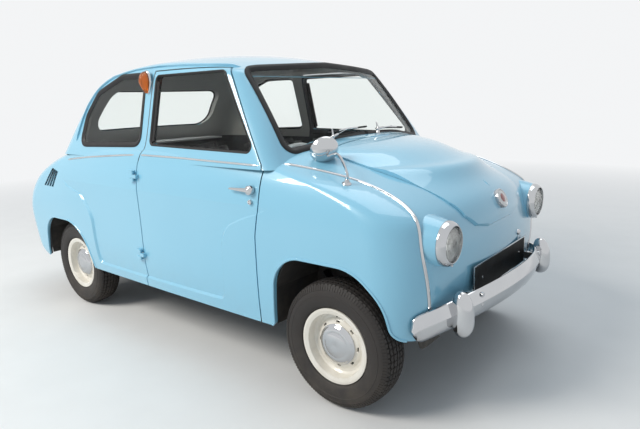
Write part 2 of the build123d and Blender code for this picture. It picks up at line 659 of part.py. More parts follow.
def knuckle(side):
    y = side * KINGPIN_Y
    part = rod((FRONT_AXLE_X, y, TYRE_R - SLEEVE_HALF), (FRONT_AXLE_X, y, TYRE_R + SLEEVE_HALF), 20)
    part += rod((FRONT_AXLE_X, y, TYRE_R), (FRONT_AXLE_X, side * STUB_END_Y, TYRE_R), STUB_R)
    part += rod((FRONT_AXLE_X, side * (PLATE_Y - 4), TYRE_R), (FRONT_AXLE_X, side * PLATE_Y, TYRE_R), 72)
    arm = Polyline((FRONT_AXLE_X, y - 9), (FRONT_AXLE_X + STEER_ARM, side * ARM_Y - 9),
                   (FRONT_AXLE_X + STEER_ARM, side * ARM_Y + 9), (FRONT_AXLE_X, y + 9), close=True)
    part += Pos(0, 0, TYRE_R - 6) * extrude(make_face(arm), 12)
    part = part - rod((FRONT_AXLE_X, y, 0), (FRONT_AXLE_X, y, 500), KINGPIN_R + RUNNING_GAP)
    return part


save("knuckle_right", knuckle(-1))
save("knuckle_left", knuckle(1))

# Rear axle: swinging half shafts in tubes, with their stubs, and the trailing arms
rear_axle = Part()
for side in (-1, 1):
    rear_axle += rod((REAR_AXLE_X, side * 120.3, TYRE_R), (REAR_AXLE_X, side * (PLATE_Y - 2), TYRE_R), 24)
    rear_axle += rod((REAR_AXLE_X, side * (PLATE_Y - 4), TYRE_R), (REAR_AXLE_X, side * PLATE_Y, TYRE_R), 84)
    rear_axle += rod((REAR_AXLE_X, side * PLATE_Y, TYRE_R), (REAR_AXLE_X, side * STUB_END_Y, TYRE_R), STUB_R)
    rear_axle += rod((REAR_AXLE_X, side * 300, TYRE_R), (-490, side * 260, 300), 14)
rear_axle = rear_axle - box(-508 - SEAT_GAP, -400, -400, 400, 200, 400)
save("rear_axle", rear_axle)

engine = box(-1300, -940, -200, 200, 270, 520) + box(-940, -700, -120, 120, 160, 330)
save("engine", engine)
PIPE_R = 14
PIPE_Y = 150
PIPE_Z = 202
BOX_X = -1235
exhaust = rod((BOX_X, -190, PIPE_Z), (BOX_X, 190, PIPE_Z), 42)
exhaust += rod((BOX_X, -PIPE_Y, PIPE_Z), (BOX_X, -PIPE_Y, 270 - SEAT_GAP), PIPE_R)
exhaust += rod((BOX_X, PIPE_Y, PIPE_Z), (-1320, PIPE_Y, PIPE_Z), PIPE_R - 1.5)
exhaust += rod((-1310, PIPE_Y, PIPE_Z), (-1410, PIPE_Y, PIPE_Z), PIPE_R)
save("exhaust", exhaust)
print("running gear saved")


# Wheels
def revolve_profile(points):
    """Revolve an outline of (axial, radial) points about the Y axis."""
    sketch = make_face(Polyline(*points, close=True))
    plane = Plane(origin=(0, 0, 0), x_dir=(0, 1, 0), z_dir=(1, 0, 0))
    return revolve(plane * sketch, Axis.Y)


# axial distance outwards from the wheel's middle, and radius
TYRE_PROFILE = [
    (-46.5, 126), (-46.5, 143), (-56, 152), (-61, 168), (-62, 185), (-60, 205), (-53, 224), (-42, 233), (0, 237),
    (42, 233), (53, 224), (60, 205), (62, 185), (61, 168), (56, 152), (46.5, 143), (46.5, 126),
]
RIM_PROFILE = [
    (52, 141), (47, 141), (47, 125.7), (-47, 125.7), (-47, 141), (-52, 141), (-52, 133), (-48, 119), (8, 119),
    (4, 108), (6, 96), (14, 84), (20, 72), (20, 20), (26, 20), (26, 74), (20, 88), (13, 98), (12, 108), (18, 116),
    (48, 120), (52, 133),
]
CAP_PROFILE = [
    (26.3, 76), (29, 76), (34, 66), (40, 48), (44, 24), (45, 0), (43, 0), (42, 24), (38, 46), (32, 62),
    (28, 68), (26.3, 68),
]
HUB_R = 34
NOTCH_COUNT = 8
NOTCH_R = 84


def wheel_parts(x, side):
    place = Pos(x, side * HALF_TRACK, TYRE_R)
    flip = Rot(0, 0, 0) if side > 0 else Rot(0, 0, 180)
    tyre = revolve_profile(TYRE_PROFILE)
    rim = revolve_profile(RIM_PROFILE) + Rot(90, 0, 0) * Cylinder(HUB_R, 44)
    rim = rim - Rot(90, 0, 0) * Cylinder(STUB_R + RUNNING_GAP, 300)
    for i in range(NOTCH_COUNT):
        rim = rim - Rot(0, i * 360 / NOTCH_COUNT, 0) * Pos(0, 20, NOTCH_R) * Box(16, 60, 7)
    cap = revolve_profile(CAP_PROFILE)
    return [place * flip * part for part in (tyre, rim, cap)]


for end, x in (("front", FRONT_AXLE_X), ("rear", REAR_AXLE_X)):
    for name, side in (("right", -1), ("left", 1)):
        tyre, rim, cap = wheel_parts(x, side)
        save(f"tyre_{end}_{name}", tyre)
        save(f"rim_{end}_{name}", rim)
        save(f"hub_cap_{end}_{name}", cap)
print("wheels saved")

# Bumpers: a bowed blade turned about a tilted upright axis, so that its ends drop
# bow radius, tilt and half the sweep in degrees, and how far out the overriders stand
FRONT_BLADE = (1102, 14, 31, 1388)
REAR_BLADE = (2400, 6, 13.4, 1407)
BUMPER_Z = 418
OVERRIDER_Y = 408
OVERRIDER_Z = 393
OVERRIDER_R = 28
OVERRIDER_HEIGHT = 160


def blade_ends(size):
    """Outline from the front that rounds the blade's ends: y, z and corner radius."""
    half, low = size.max.Y, size.min.Z
    right = [(half, low, 22), (half, low + 84, 34), (half - 160, 520, 20)]
    left = [(-y, z, r) for y, z, r in reversed(right)]
    return right + left


def bumper(bow_r, tilt, sweep, overrider_x):
    """Front bumper seen as if at +X: curved blade, overriders and brackets."""
    outer = ThreePointArc((-18, -48), (0, 0), (-18, 48))
    inner = ThreePointArc((-22, 46), (-4, 0), (-22, -46))
    section = make_face(outer + Line((-18, 48), (-22, 46)) + inner + Line((-22, -46), (-18, -48)))
    plane = Plane(origin=(0, 0, 0), x_dir=(1, 0, 0), z_dir=(0, -1, 0))
    solid = revolve(plane * (Rot(0, 0, tilt) * section), Axis((-bow_r, 0, 0), (0, 0, 1)), sweep)
    solid += mirrored(solid)
    solid = Rot(0, -tilt, 0) * solid
    solid = Pos(HALF_LENGTH - solid.bounding_box().max.X, 0, BUMPER_Z) * solid
    solid = solid & front_prism(blade_ends(solid.bounding_box()), 0, 900, 1500)
    for side in (-1, 1):
        post = Pos(overrider_x, side * OVERRIDER_Y, OVERRIDER_Z) * Cylinder(OVERRIDER_R, OVERRIDER_HEIGHT)
        solid += fillet(post.edges(), OVERRIDER_R - 1)
        solid += rod((1300, side * 300, 410), (1425, side * 300, 410), 10)
    return solid


lower_grown = lower_volume(-SEAT_GAP, 0)
front_bumper = bumper(*FRONT_BLADE) - lower_grown
rear_bumper = Rot(0, 0, 180) * bumper(*REAR_BLADE) - lower_grown
save("front_bumper", front_bumper)
save("rear_bumper", rear_bumper)

PLATE_HALF = 260
FRONT_PLATE_X = 1351.3
REAR_PLATE_X = 1401
plates = box(FRONT_PLATE_X - 2.5, FRONT_PLATE_X, -PLATE_HALF, PLATE_HALF, 398, 509)
plates += box(-REAR_PLATE_X, -REAR_PLATE_X + 2.5, -PLATE_HALF, PLATE_HALF, 472, 580)
save("number_plates", plates)

# Lamps
# x and radius of the headlamp's rim and bowl, from the back of the bowl round its mouth
LAMP_PROFILE = [
    (1262, 0), (1262, 64.7), (POD_FACE_X + SEAT_GAP, 64.7), (POD_FACE_X + SEAT_GAP, 76), (1336, 75.5), (1345, 72),
    (1351, 66), (1352, 62), (1350, 60.4), (1300, 58), (1270, 40), (1270, 0),
]
lamp = revolve_about_x(make_face(Polyline(*LAMP_PROFILE, close=True)))
lens = dome(1357, 1344, 59.8, 1341.5) - dome(1354, 1341.5, 57.5, 1330)

EAR_X, EAR_Z = -120, 1196
lamps, lenses, ears, tails = Part(), Part(), Part(), Part()
for side in (-1, 1):
    y = side * LAMP_Y
    lamps += Pos(0, y, LAMP_Z) * lamp
    lenses += Pos(0, y, LAMP_Z) * lens
    ears += rod((EAR_X, side * 500, EAR_Z), (EAR_X, side * 552, EAR_Z), 18)
    tails += rod((-1330, side * 500, 560), (-1418, side * 500, 560), 36)
ears = ears - upper_volume(-SEAT_GAP, 0)
tails = tails - lower_grown
save("headlamps", lamps)
save("headlamp_lenses", lenses)
save("indicator_lamps", ears)
save("tail_lamps", tails)

# Mirror on the fender: foot, stem and a bowl that faces back to the driver
MIRROR_BASE = (997, -520, 800)
MIRROR_STEM = (994, -519, 828)
MIRROR_HEAD = (822, -434, 912)
MIRROR_TURN = -12
head = Pos(*MIRROR_HEAD) * Rot(0, 0, MIRROR_TURN) * dome(38, 0, 50, -6)
mirror_part = rod(MIRROR_BASE, (992, -518, 838), 11) + rod(MIRROR_STEM, MIRROR_HEAD, 5.5) + head
mirror_part = mirror_part - lower_grown
save("mirror", mirror_part)

wiper_parts = rod((736, -250, 905), (716, -180, 975), 5) + rod((762, 60, 915), (738, 130, 985), 5)
save("wipers", wiper_parts - skin)
print("all saved")
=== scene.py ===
# %% [markdown]
# # A small blue saloon car
# The car's solid parts come from the CAD model as a fixed frame: every node already
# stands in its place, in metres, with +X forward, +Y to the car's left and +Z up.
# This lesson gives each part its finish and adds what the solids leave out.

# %% Load the frame
import math
import bmesh
import bpy
from mathutils import Matrix, Vector
from mathutils.bvhtree import BVHTree


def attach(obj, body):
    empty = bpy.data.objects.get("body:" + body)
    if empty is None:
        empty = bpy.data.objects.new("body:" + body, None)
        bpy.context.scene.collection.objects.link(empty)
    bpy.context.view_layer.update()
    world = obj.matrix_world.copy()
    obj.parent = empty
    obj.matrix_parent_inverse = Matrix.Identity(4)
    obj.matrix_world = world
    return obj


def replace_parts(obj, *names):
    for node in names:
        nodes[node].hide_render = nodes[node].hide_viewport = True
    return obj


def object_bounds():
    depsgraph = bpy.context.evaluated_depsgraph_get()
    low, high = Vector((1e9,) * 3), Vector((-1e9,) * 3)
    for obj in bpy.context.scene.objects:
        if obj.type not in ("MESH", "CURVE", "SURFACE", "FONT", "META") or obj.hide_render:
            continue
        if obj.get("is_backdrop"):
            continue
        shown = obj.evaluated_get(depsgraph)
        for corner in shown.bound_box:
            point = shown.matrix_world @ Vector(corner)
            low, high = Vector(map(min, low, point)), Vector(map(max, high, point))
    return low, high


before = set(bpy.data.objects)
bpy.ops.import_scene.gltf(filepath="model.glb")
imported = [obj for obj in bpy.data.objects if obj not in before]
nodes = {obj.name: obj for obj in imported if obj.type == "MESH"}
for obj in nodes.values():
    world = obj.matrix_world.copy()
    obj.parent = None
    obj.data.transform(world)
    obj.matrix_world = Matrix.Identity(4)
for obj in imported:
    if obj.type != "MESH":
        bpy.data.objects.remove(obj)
cad_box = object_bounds()
scene = bpy.context.scene
scene.view_settings.view_transform = "Standard"
bpy.ops.object.select_all(action="DESELECT")
print("nodes", len(nodes), "box", [round(v, 3) for corner in cad_box for v in corner])

# %% [markdown]
# ## Camera
# The photograph was taken standing at the car's right front corner, at head height and
# close enough to look wide. A 30 mm lens on a 36 mm sensor gives that perspective. The
# camera is turned by a heading, a downward tilt and a slight lean, in that order.

# %% Camera
LENS_MM, SENSOR_MM = 30.02, 36
CAMERA_AT = Vector((2.067, -1.977, 1.1))
HEADING, TILT, LEAN = math.radians(39.32), math.radians(12.22), math.radians(-1.76)
camera = bpy.data.objects.new("camera", bpy.data.cameras.new("camera"))
scene.collection.objects.link(camera)
camera.data.lens = LENS_MM
camera.data.sensor_width = SENSOR_MM
camera.data.clip_start = 0.05
camera.data.clip_end = 200
turn = (Matrix.Rotation(HEADING, 4, "Z") @ Matrix.Rotation(math.pi / 2 - TILT, 4, "X")
        @ Matrix.Rotation(LEAN, 4, "Z"))
camera.matrix_world = Matrix.Translation(CAMERA_AT) @ turn
scene.camera = camera
print("camera looks along", [round(v, 3) for v in -camera.matrix_world.col[2].xyz])

# %% [markdown]
# ## Studio
# A pale floor keeps the car's shadow, and a pale world lights everything evenly. One
# large soft lamp stands to the car's right, a little behind, so that the side is bright
# and the nose falls into shade, as in the open air with the sun behind the shoulder.

# %% Floor and world
FLOOR_SIZE = 80
BACKDROP = (0.9, 0.91, 0.92, 1)
bpy.ops.mesh.primitive_plane_add(size=FLOOR_SIZE)
floor = bpy.context.object
floor.name = "studio_floor"
floor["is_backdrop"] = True


def seen_by_eye(tree):
    """A value of 1 for what the viewer sees: straight on, mirrored or through glass."""
    path = tree.nodes.new("ShaderNodeLightPath")
    seen = path.outputs["Is Camera Ray"]
    for other in ("Is Glossy Ray", "Is Transmission Ray"):
        either = tree.nodes.new("ShaderNodeMath")
        either.operation = "MAXIMUM"
        tree.links.new(seen, either.inputs[0])
        tree.links.new(path.outputs[other], either.inputs[1])
        seen = either.outputs[0]
    return seen


world = bpy.data.worlds.new("studio_world")
scene.world = world
world.use_nodes = True
air = world.node_tree
air.nodes.clear()
out = air.nodes.new("ShaderNodeOutputWorld")
mix = air.nodes.new("ShaderNodeMixShader")
light_air = air.nodes.new("ShaderNodeBackground")
seen_air = air.nodes.new("ShaderNodeBackground")
light_air.inputs["Color"].default_value = (0.8, 0.9, 1.0, 1)
light_air.inputs["Strength"].default_value = 0.46
seen_air.inputs["Color"].default_value = BACKDROP
seen_air.inputs["Strength"].default_value = 1.0
air.links.new(seen_by_eye(air), mix.inputs["Fac"])
air.links.new(light_air.outputs[0], mix.inputs[1])
air.links.new(seen_air.outputs[0], mix.inputs[2])
air.links.new(mix.outputs[0], out.inputs["Surface"])

# %% [markdown]
# The key lamp is warm and strong. A cooler and weaker one hangs over the car and opens up
# the shadows on the roof and the nose.

# %% Lamps
def soft_lamp(name, place, target, size, watts, tint=(1, 1, 1)):
    """A square area lamp that points at a target."""
    lamp = bpy.data.objects.new(name, bpy.data.lights.new(name, "AREA"))
    lamp.data.size = size
    lamp.data.energy = watts
    lamp.data.color = tint
    aim = (Vector(target) - Vector(place)).to_track_quat("-Z", "Y")
    lamp.matrix_world = Matrix.Translation(place) @ aim.to_matrix().to_4x4()
    scene.collection.objects.link(lamp)
    return lamp


soft_lamp("key_lamp", (-2.5, -5.5, 5.5), (0, 0, 0.5), 3.0, 455, (1.0, 0.96, 0.9))
soft_lamp("top_lamp", (0.5, 1.5, 6.0), (0, 0, 0.8), 4.0, 90, (0.92, 0.97, 1.0))

# %% [markdown]
# ## Shared effects
# Real finishes vary over the surface: colour mottles a little, polish is uneven, dust
# gathers low down, and even paint has a faint orange-peel relief. Each of these is a
# shader node group that is built once. The groups give only colours and values; every
# material keeps its own Principled shader.


# %% Helper for node groups
def node_group(name, inputs, outputs):
    """A shader node group with named sockets, and its input and output nodes."""
    tree = bpy.data.node_groups.new(name, "ShaderNodeTree")
    for socket, kind, value in inputs:
        made = tree.interface.new_socket(socket, in_out="INPUT", socket_type=kind)
        made.default_value = value
    for socket, kind in outputs:
        tree.interface.new_socket(socket, in_out="OUTPUT", socket_type=kind)
    return tree, tree.nodes.new("NodeGroupInput"), tree.nodes.new("NodeGroupOutput")


def add(tree, kind, values=None, **settings):
    """A node with its settings and the values of its sockets."""
    node = tree.nodes.new("ShaderNode" + kind)
    for key, value in settings.items():
        setattr(node, key, value)
    for key, value in (values or {}).items():
        node.inputs[key].default_value = value
    return node


FLOAT, COLOR, VECTOR = "NodeSocketFloat", "NodeSocketColor", "NodeSocketVector"


def noise(tree, scale, detail=3.0, rough=0.5):
    """Noise on Object coordinates. The scale is a number or a group's socket."""
    place = add(tree, "TexCoord")
    node = add(tree, "TexNoise", {"Detail": detail, "Roughness": rough})
    tree.links.new(place.outputs["Object"], node.inputs["Vector"])
    if isinstance(scale, (int, float)):
        node.inputs["Scale"].default_value = scale
    else:
        tree.links.new(scale, node.inputs["Scale"])
    return node.outputs["Fac"]


def spread(tree, value, low, high, to_low=0.0, to_high=1.0):
    """Map a value's range, and keep it inside the new one."""
    node = add(tree, "MapRange", {"From Min": low, "From Max": high, "To Min": to_low, "To Max": to_high})
    tree.links.new(value, node.inputs["Value"])
    return node.outputs["Result"]


def product(tree, *factors):
    """Multiply values with one another."""
    result = factors[0]
    for factor in factors[1:]:
        node = add(tree, "Math", operation="MULTIPLY")
        tree.links.new(result, node.inputs[0])
        tree.links.new(factor, node.inputs[1])
        result = node.outputs[0]
    return result


def below(tree, value, limit):
    """A value of 1 where another one is less than a limit."""
    node = add(tree, "Math", {1: limit}, operation="LESS_THAN")
    tree.links.new(value, node.inputs[0])
    return node.outputs[0]


# %% Mottle and polish groups
mottle, source, sink = node_group(
    "mottle", [("First", COLOR, (1, 1, 1, 1)), ("Second", COLOR, (0, 0, 0, 1)), ("Scale", FLOAT, 5.0)],
    [("Color", COLOR)])
blend = add(mottle, "Mix", data_type="RGBA")
mottle.links.new(spread(mottle, noise(mottle, source.outputs["Scale"]), 0.3, 0.7), blend.inputs["Factor"])
mottle.links.new(source.outputs["First"], blend.inputs["A"])
mottle.links.new(source.outputs["Second"], blend.inputs["B"])
mottle.links.new(blend.outputs["Result"], sink.inputs["Color"])

polish, source, sink = node_group(
    "polish", [("Low", FLOAT, 0.1), ("High", FLOAT, 0.3), ("Scale", FLOAT, 8.0)], [("Roughness", FLOAT)])
reach = add(polish, "MapRange", {"From Min": 0.3, "From Max": 0.7})
polish.links.new(noise(polish, source.outputs["Scale"], 4.0, 0.6), reach.inputs["Value"])
polish.links.new(source.outputs["Low"], reach.inputs["To Min"])
polish.links.new(source.outputs["High"], reach.inputs["To Max"])
polish.links.new(reach.outputs["Result"], sink.inputs["Roughness"])

# %% [markdown]
# Grain gives a height for fine relief. Road dust is thickest near the ground, fades out
# at a given height, and lies in patches.

# %% Grain and dust groups
grain, source, sink = node_group(
    "grain", [("Scale", FLOAT, 400.0), ("Depth", FLOAT, 0.5)], [("Height", FLOAT)])
fine = noise(grain, source.outputs["Scale"], 2.0)
grain.links.new(product(grain, fine, source.outputs["Depth"]), sink.inputs["Height"])

dust, source, sink = node_group(
    "road_dust", [("Top", FLOAT, 0.35), ("Amount", FLOAT, 0.3)], [("Mask", FLOAT)])
place = add(dust, "TexCoord")
split = add(dust, "SeparateXYZ")
dust.links.new(place.outputs["Object"], split.inputs[0])
low = add(dust, "MapRange", {"From Min": 0.0, "To Min": 1.0, "To Max": 0.0})
dust.links.new(split.outputs["Z"], low.inputs["Value"])
dust.links.new(source.outputs["Top"], low.inputs["From Max"])
patches = spread(dust, noise(dust, 14.0, 5.0, 0.65), 0.35, 0.75)
dust.links.new(product(dust, low.outputs["Result"], patches, source.outputs["Amount"]), sink.inputs["Mask"])

# %% [markdown]
# The panels are closed shells, so one mesh holds the outer skin and the side that faces the
# cabin or the engine. A mask finds that inner side by its normal, which points to the
# middle of the car. The nose and the door hinges lie beyond its limits and stay painted.

# %% Inner side group
INNER_FRONT_X, INNER_HALF_WIDTH = 1.215, 0.6115
inner, source, sink = node_group("inner_side", [("Centre", VECTOR, (0.1, 0, 0.8))], [("Mask", FLOAT)])
place = add(inner, "TexCoord")
away = add(inner, "VectorMath", operation="SUBTRACT")
inner.links.new(place.outputs["Object"], away.inputs[0])
inner.links.new(source.outputs["Centre"], away.inputs[1])
facing = add(inner, "VectorMath", operation="DOT_PRODUCT")
inner.links.new(away.outputs["Vector"], facing.inputs[0])
inner.links.new(place.outputs["Normal"], facing.inputs[1])
split = add(inner, "SeparateXYZ")
inner.links.new(place.outputs["Object"], split.inputs[0])
width = add(inner, "Math", operation="ABSOLUTE")
inner.links.new(split.outputs["Y"], width.inputs[0])
inwards = below(inner, facing.outputs["Value"], 0.0)
behind = below(inner, split.outputs["X"], INNER_FRONT_X)
within = below(inner, width.outputs[0], INNER_HALF_WIDTH)
inner.links.new(product(inner, inwards, behind, within), sink.inputs["Mask"])
print("groups", [g.name for g in bpy.data.node_groups])

# %% [markdown]
# ## Finishes
# One builder makes the plain finishes from the shared groups. What differs from finish
# to finish is in its arguments: two colours that mottle, a range of roughness, a grain,
# and how far up the dust reaches.

# %% Finish builder
DUST_TINT, DUST_ROUGHNESS = (0.3, 0.25, 0.19, 1), 0.9
SOCKETS = {"metal": "Metallic", "coat": "Coat Weight", "coat_rough": "Coat Roughness",
           "specular": "Specular IOR Level"}


def use_group(tree, group, values):
    """Place a node group in a material, with its values."""
    node = tree.nodes.new("ShaderNodeGroup")
    node.node_tree = group
    for key, value in values.items():
        node.inputs[key].default_value = value
    return node


def finish(name, first, second, rough, patch=5.0, wear=9.0, grain_scale=600.0, depth=0.2,
           bump=0.1, dust_top=0.0, dust_amount=0.0, lining=None, **fixed):
    """A material with mottled colour, uneven polish, fine relief, low dust and an inner side."""
    material = bpy.data.materials.new(name)
    material.use_nodes = True
    tree = material.node_tree
    shader = tree.nodes["Principled BSDF"]
    colour = use_group(tree, mottle,
                       {"First": (*first, 1), "Second": (*second, 1), "Scale": patch}).outputs["Color"]
    roughness = use_group(tree, polish,
                          {"Low": rough[0], "High": rough[1], "Scale": wear}).outputs["Roughness"]
    if dust_amount:
        mask = use_group(tree, dust, {"Top": dust_top, "Amount": dust_amount}).outputs["Mask"]
        colour = mix_by(tree, mask, colour, DUST_TINT)
        roughness = mix_by(tree, mask, roughness, DUST_ROUGHNESS)
    if lining:
        tint, dull = lining
        mask = use_group(tree, inner, {}).outputs["Mask"]
        colour = mix_by(tree, mask, colour, (*tint, 1))
        roughness = mix_by(tree, mask, roughness, dull)
        coat = fixed.pop("coat", 0.0)
        tree.links.new(mix_by(tree, mask, None, 0.0, coat), shader.inputs["Coat Weight"])
    tree.links.new(colour, shader.inputs["Base Color"])
    tree.links.new(roughness, shader.inputs["Roughness"])
    relief = use_group(tree, grain, {"Scale": grain_scale, "Depth": depth})
    push = add(tree, "Bump", {"Strength": bump, "Distance": 0.001})
    tree.links.new(relief.outputs["Height"], push.inputs["Height"])
    tree.links.new(push.outputs["Normal"], shader.inputs["Normal"])
    for key, value in fixed.items():
        shader.inputs[SOCKETS[key]].default_value = value
    return material


def mix_by(tree, mask, clean, other, start=None):
    """Mix a colour or a number towards another one by a mask."""
    is_colour = isinstance(other, tuple)
    node = add(tree, "Mix", data_type="RGBA" if is_colour else "FLOAT")
    tree.links.new(mask, node.inputs["Factor"])
    if clean is None:
        node.inputs["A"].default_value = start
    else:
        tree.links.new(clean, node.inputs["A"])
    node.inputs["B"].default_value = other
    return node.outputs["Result"]


# %% [markdown]
# ### Paint, chrome, rubber and trim
# The paint is a glossy light sky blue with a clear coat over a softer base. Chrome is a
# metal with very low roughness. Rubber and underseal are dark and dull, and take dust.

# %% Opaque finishes
SKY, SKY_DEEP = (0.24, 0.555, 0.735), (0.225, 0.53, 0.71)
PAINT = dict(rough=(0.3, 0.38), patch=1.3, wear=3.0, grain_scale=900.0, depth=0.25, bump=0.04,
             dust_top=0.42, dust_amount=0.22, coat=1.0, coat_rough=0.03)
paint = finish("sky_paint", SKY, SKY_DEEP, **PAINT)
paint_headlined = finish("sky_paint_headlined", SKY, SKY_DEEP, lining=((0.42, 0.42, 0.41), 0.9), **PAINT)
paint_lined = finish("sky_paint_lined", SKY, SKY_DEEP, lining=((0.06, 0.063, 0.07), 0.6), **PAINT)
paint_undersealed = finish("sky_paint_undersealed", SKY, SKY_DEEP, lining=((0.012, 0.012, 0.013), 0.8),
                           **PAINT)
chrome = finish("chrome", (0.58, 0.59, 0.6), (0.53, 0.54, 0.56), (0.03, 0.09), wear=25.0, bump=0.01,
                metal=1.0)
chrome_dusty = finish("chrome_bumper", (0.6, 0.61, 0.62), (0.54, 0.55, 0.57), (0.04, 0.12), wear=12.0,
                      bump=0.01, metal=1.0, dust_top=0.5, dust_amount=0.15)
bright_trim = finish("bright_trim", (0.66, 0.67, 0.68), (0.58, 0.6, 0.62), (0.12, 0.22), wear=40.0, metal=1.0)
seal_rubber = finish("seal_rubber", (0.008, 0.008, 0.009), (0.015, 0.015, 0.016), (0.4, 0.6), bump=0.12,
                     specular=0.3)
tyre_rubber = finish("tyre_rubber", (0.017, 0.0145, 0.0135), (0.026, 0.022, 0.02), (0.55, 0.75), patch=9.0,
                     bump=0.3, grain_scale=900.0, depth=0.6, dust_top=0.26, dust_amount=0.2)
wheel_cream = finish("wheel_cream", (0.8, 0.77, 0.7), (0.74, 0.7, 0.62), (0.28, 0.42), patch=14.0, coat=0.4,
                     dust_top=0.34, dust_amount=0.3)
underseal = finish("underseal", (0.014, 0.014, 0.015), (0.028, 0.026, 0.024), (0.6, 0.85), bump=0.5,
                   grain_scale=300.0, depth=1.0, dust_top=0.5, dust_amount=0.6)
axle_black = finish("axle_black", (0.015, 0.015, 0.016), (0.03, 0.028, 0.026), (0.4, 0.6), dust_top=0.35,
                    dust_amount=0.5)
cast_alloy = finish("cast_alloy", (0.34, 0.34, 0.33), (0.22, 0.21, 0.2), (0.45, 0.65), metal=0.8, bump=0.4,
                    grain_scale=250.0, depth=1.0)
rusty_steel = finish("rusty_steel", (0.2, 0.14, 0.1), (0.1, 0.06, 0.04), (0.55, 0.8), patch=18.0, metal=0.6,
                     bump=0.4, depth=1.0)
bright_steel = finish("bright_steel", (0.55, 0.55, 0.56), (0.45, 0.45, 0.47), (0.2, 0.35), metal=1.0)
plate_black = finish("plate_black", (0.004, 0.004, 0.004), (0.007, 0.007, 0.007), (0.45, 0.6), specular=0.15)
grey_plastic = finish("grey_plastic", (0.5, 0.52, 0.54), (0.46, 0.48, 0.5), (0.28, 0.4))
dark_plastic = finish("dark_plastic", (0.02, 0.02, 0.022), (0.03, 0.03, 0.032), (0.35, 0.5))
dash_paint = finish("dash_paint", (0.1, 0.2, 0.26), (0.09, 0.18, 0.24), (0.3, 0.42))
seat_vinyl = finish("seat_vinyl", (0.03, 0.03, 0.034), (0.045, 0.044, 0.048), (0.35, 0.5), patch=8.0,
                    bump=0.35, grain_scale=700.0, depth=0.8)
piping_vinyl = finish("piping_vinyl", (0.055, 0.055, 0.06), (0.07, 0.07, 0.074), (0.3, 0.42), bump=0.1)
card_vinyl = finish("card_vinyl", (0.36, 0.37, 0.38), (0.33, 0.34, 0.35), (0.5, 0.65), patch=6.0, bump=0.35,
                    grain_scale=600.0, depth=0.8)
seat_tube = finish("seat_tube", (0.1, 0.1, 0.11), (0.08, 0.08, 0.09), (0.3, 0.45), metal=0.6)
red_enamel = finish("red_enamel", (0.3, 0.02, 0.02), (0.25, 0.015, 0.015), (0.15, 0.25), coat=1.0)
white_enamel = finish("white_enamel", (0.72, 0.72, 0.7), (0.68, 0.68, 0.66), (0.15, 0.25), coat=1.0)
mirror_silver = finish("mirror_silver", (0.8, 0.81, 0.81), (0.76, 0.77, 0.78), (0.04, 0.1), wear=30.0,
                       metal=1.0)
studio_grey = finish("studio_floor", (0.8, 0.8, 0.79), (0.78, 0.78, 0.77), (0.8, 0.9))
floor.data.materials.append(studio_grey)

# %% [markdown]
# The floor is a plain pale sheet that keeps the car's shadow. Far away it takes the
# background's own colour for whoever looks at it, so that no horizon shows. It gives the
# car no light by this.

# %% Floor that fades into the background
FADE_FROM, FADE_TO = 2.6, 7.0
ground = studio_grey.node_tree
shader = ground.nodes["Principled BSDF"]
sink = ground.nodes["Material Output"]
place = add(ground, "TexCoord")
reach = add(ground, "VectorMath", operation="LENGTH")
ground.links.new(place.outputs["Object"], reach.inputs[0])
far = spread(ground, reach.outputs["Value"], FADE_FROM, FADE_TO)
backdrop = add(ground, "Emission", {"Color": BACKDROP, "Strength": 1.0})
blend = add(ground, "MixShader")
ground.links.new(product(ground, far, seen_by_eye(ground)), blend.inputs["Fac"])
ground.links.new(shader.outputs[0], blend.inputs[1])
ground.links.new(backdrop.outputs[0], blend.inputs[2])
ground.links.new(blend.outputs[0], sink.inputs["Surface"])
print("floor fades from", FADE_FROM, "m to", FADE_TO, "m")

# %% [markdown]
# ### Glass and lamp lenses
# Window glass is a thin solid sheet: full transmission, no tint to speak of. The lamp
# lenses are coloured glass with fine flutes, which a wave texture presses into the
# surface as relief.

# %% Clear finishes
def clear(name, tint, rough=0.0, flutes=0.0, bump=0.0, ior=1.45, alpha=1.0):
    """Glass with a tint, and pressed flutes where a scale is given."""
    material = bpy.data.materials.new(name)
    material.use_nodes = True
    tree = material.node_tree
    shader = tree.nodes["Principled BSDF"]
    shader.inputs["Base Color"].default_value = (*tint, 1)
    shader.inputs["Transmission Weight"].default_value = 1.0
    shader.inputs["IOR"].default_value = ior
    shader.inputs["Alpha"].default_value = alpha
    smear = use_group(tree, polish, {"Low": rough, "High": rough + 0.03, "Scale": 6.0})
    tree.links.new(smear.outputs["Roughness"], shader.inputs["Roughness"])
    if flutes:
        place = add(tree, "TexCoord")
        wave = add(tree, "TexWave", {"Scale": flutes}, bands_direction="Y")
        tree.links.new(place.outputs["Object"], wave.inputs["Vector"])
        push = add(tree, "Bump", {"Strength": bump, "Distance": 0.002})
        tree.links.new(wave.outputs["Fac"], push.inputs["Height"])
        tree.links.new(push.outputs["Normal"], shader.inputs["Normal"])
    return material


window_glass = clear("window_glass", (0.96, 0.985, 0.97), ior=1.12)
lamp_glass = clear("lamp_glass", (0.97, 0.98, 0.96), rough=0.02, flutes=55.0, bump=0.35)
amber_glass = clear("amber_glass", (0.95, 0.22, 0.02), rough=0.08, flutes=70.0, bump=0.5)
red_glass = clear("red_glass", (0.75, 0.02, 0.015), rough=0.08, flutes=70.0, bump=0.5)
bulb_glass = clear("bulb_glass", (0.98, 0.98, 0.95), rough=0.05, ior=1.3)

# %% [markdown]
# ## Dressing the CAD parts
# A table says which finish each node takes. Sides repeat, so a name stands for every
# node that starts with it.

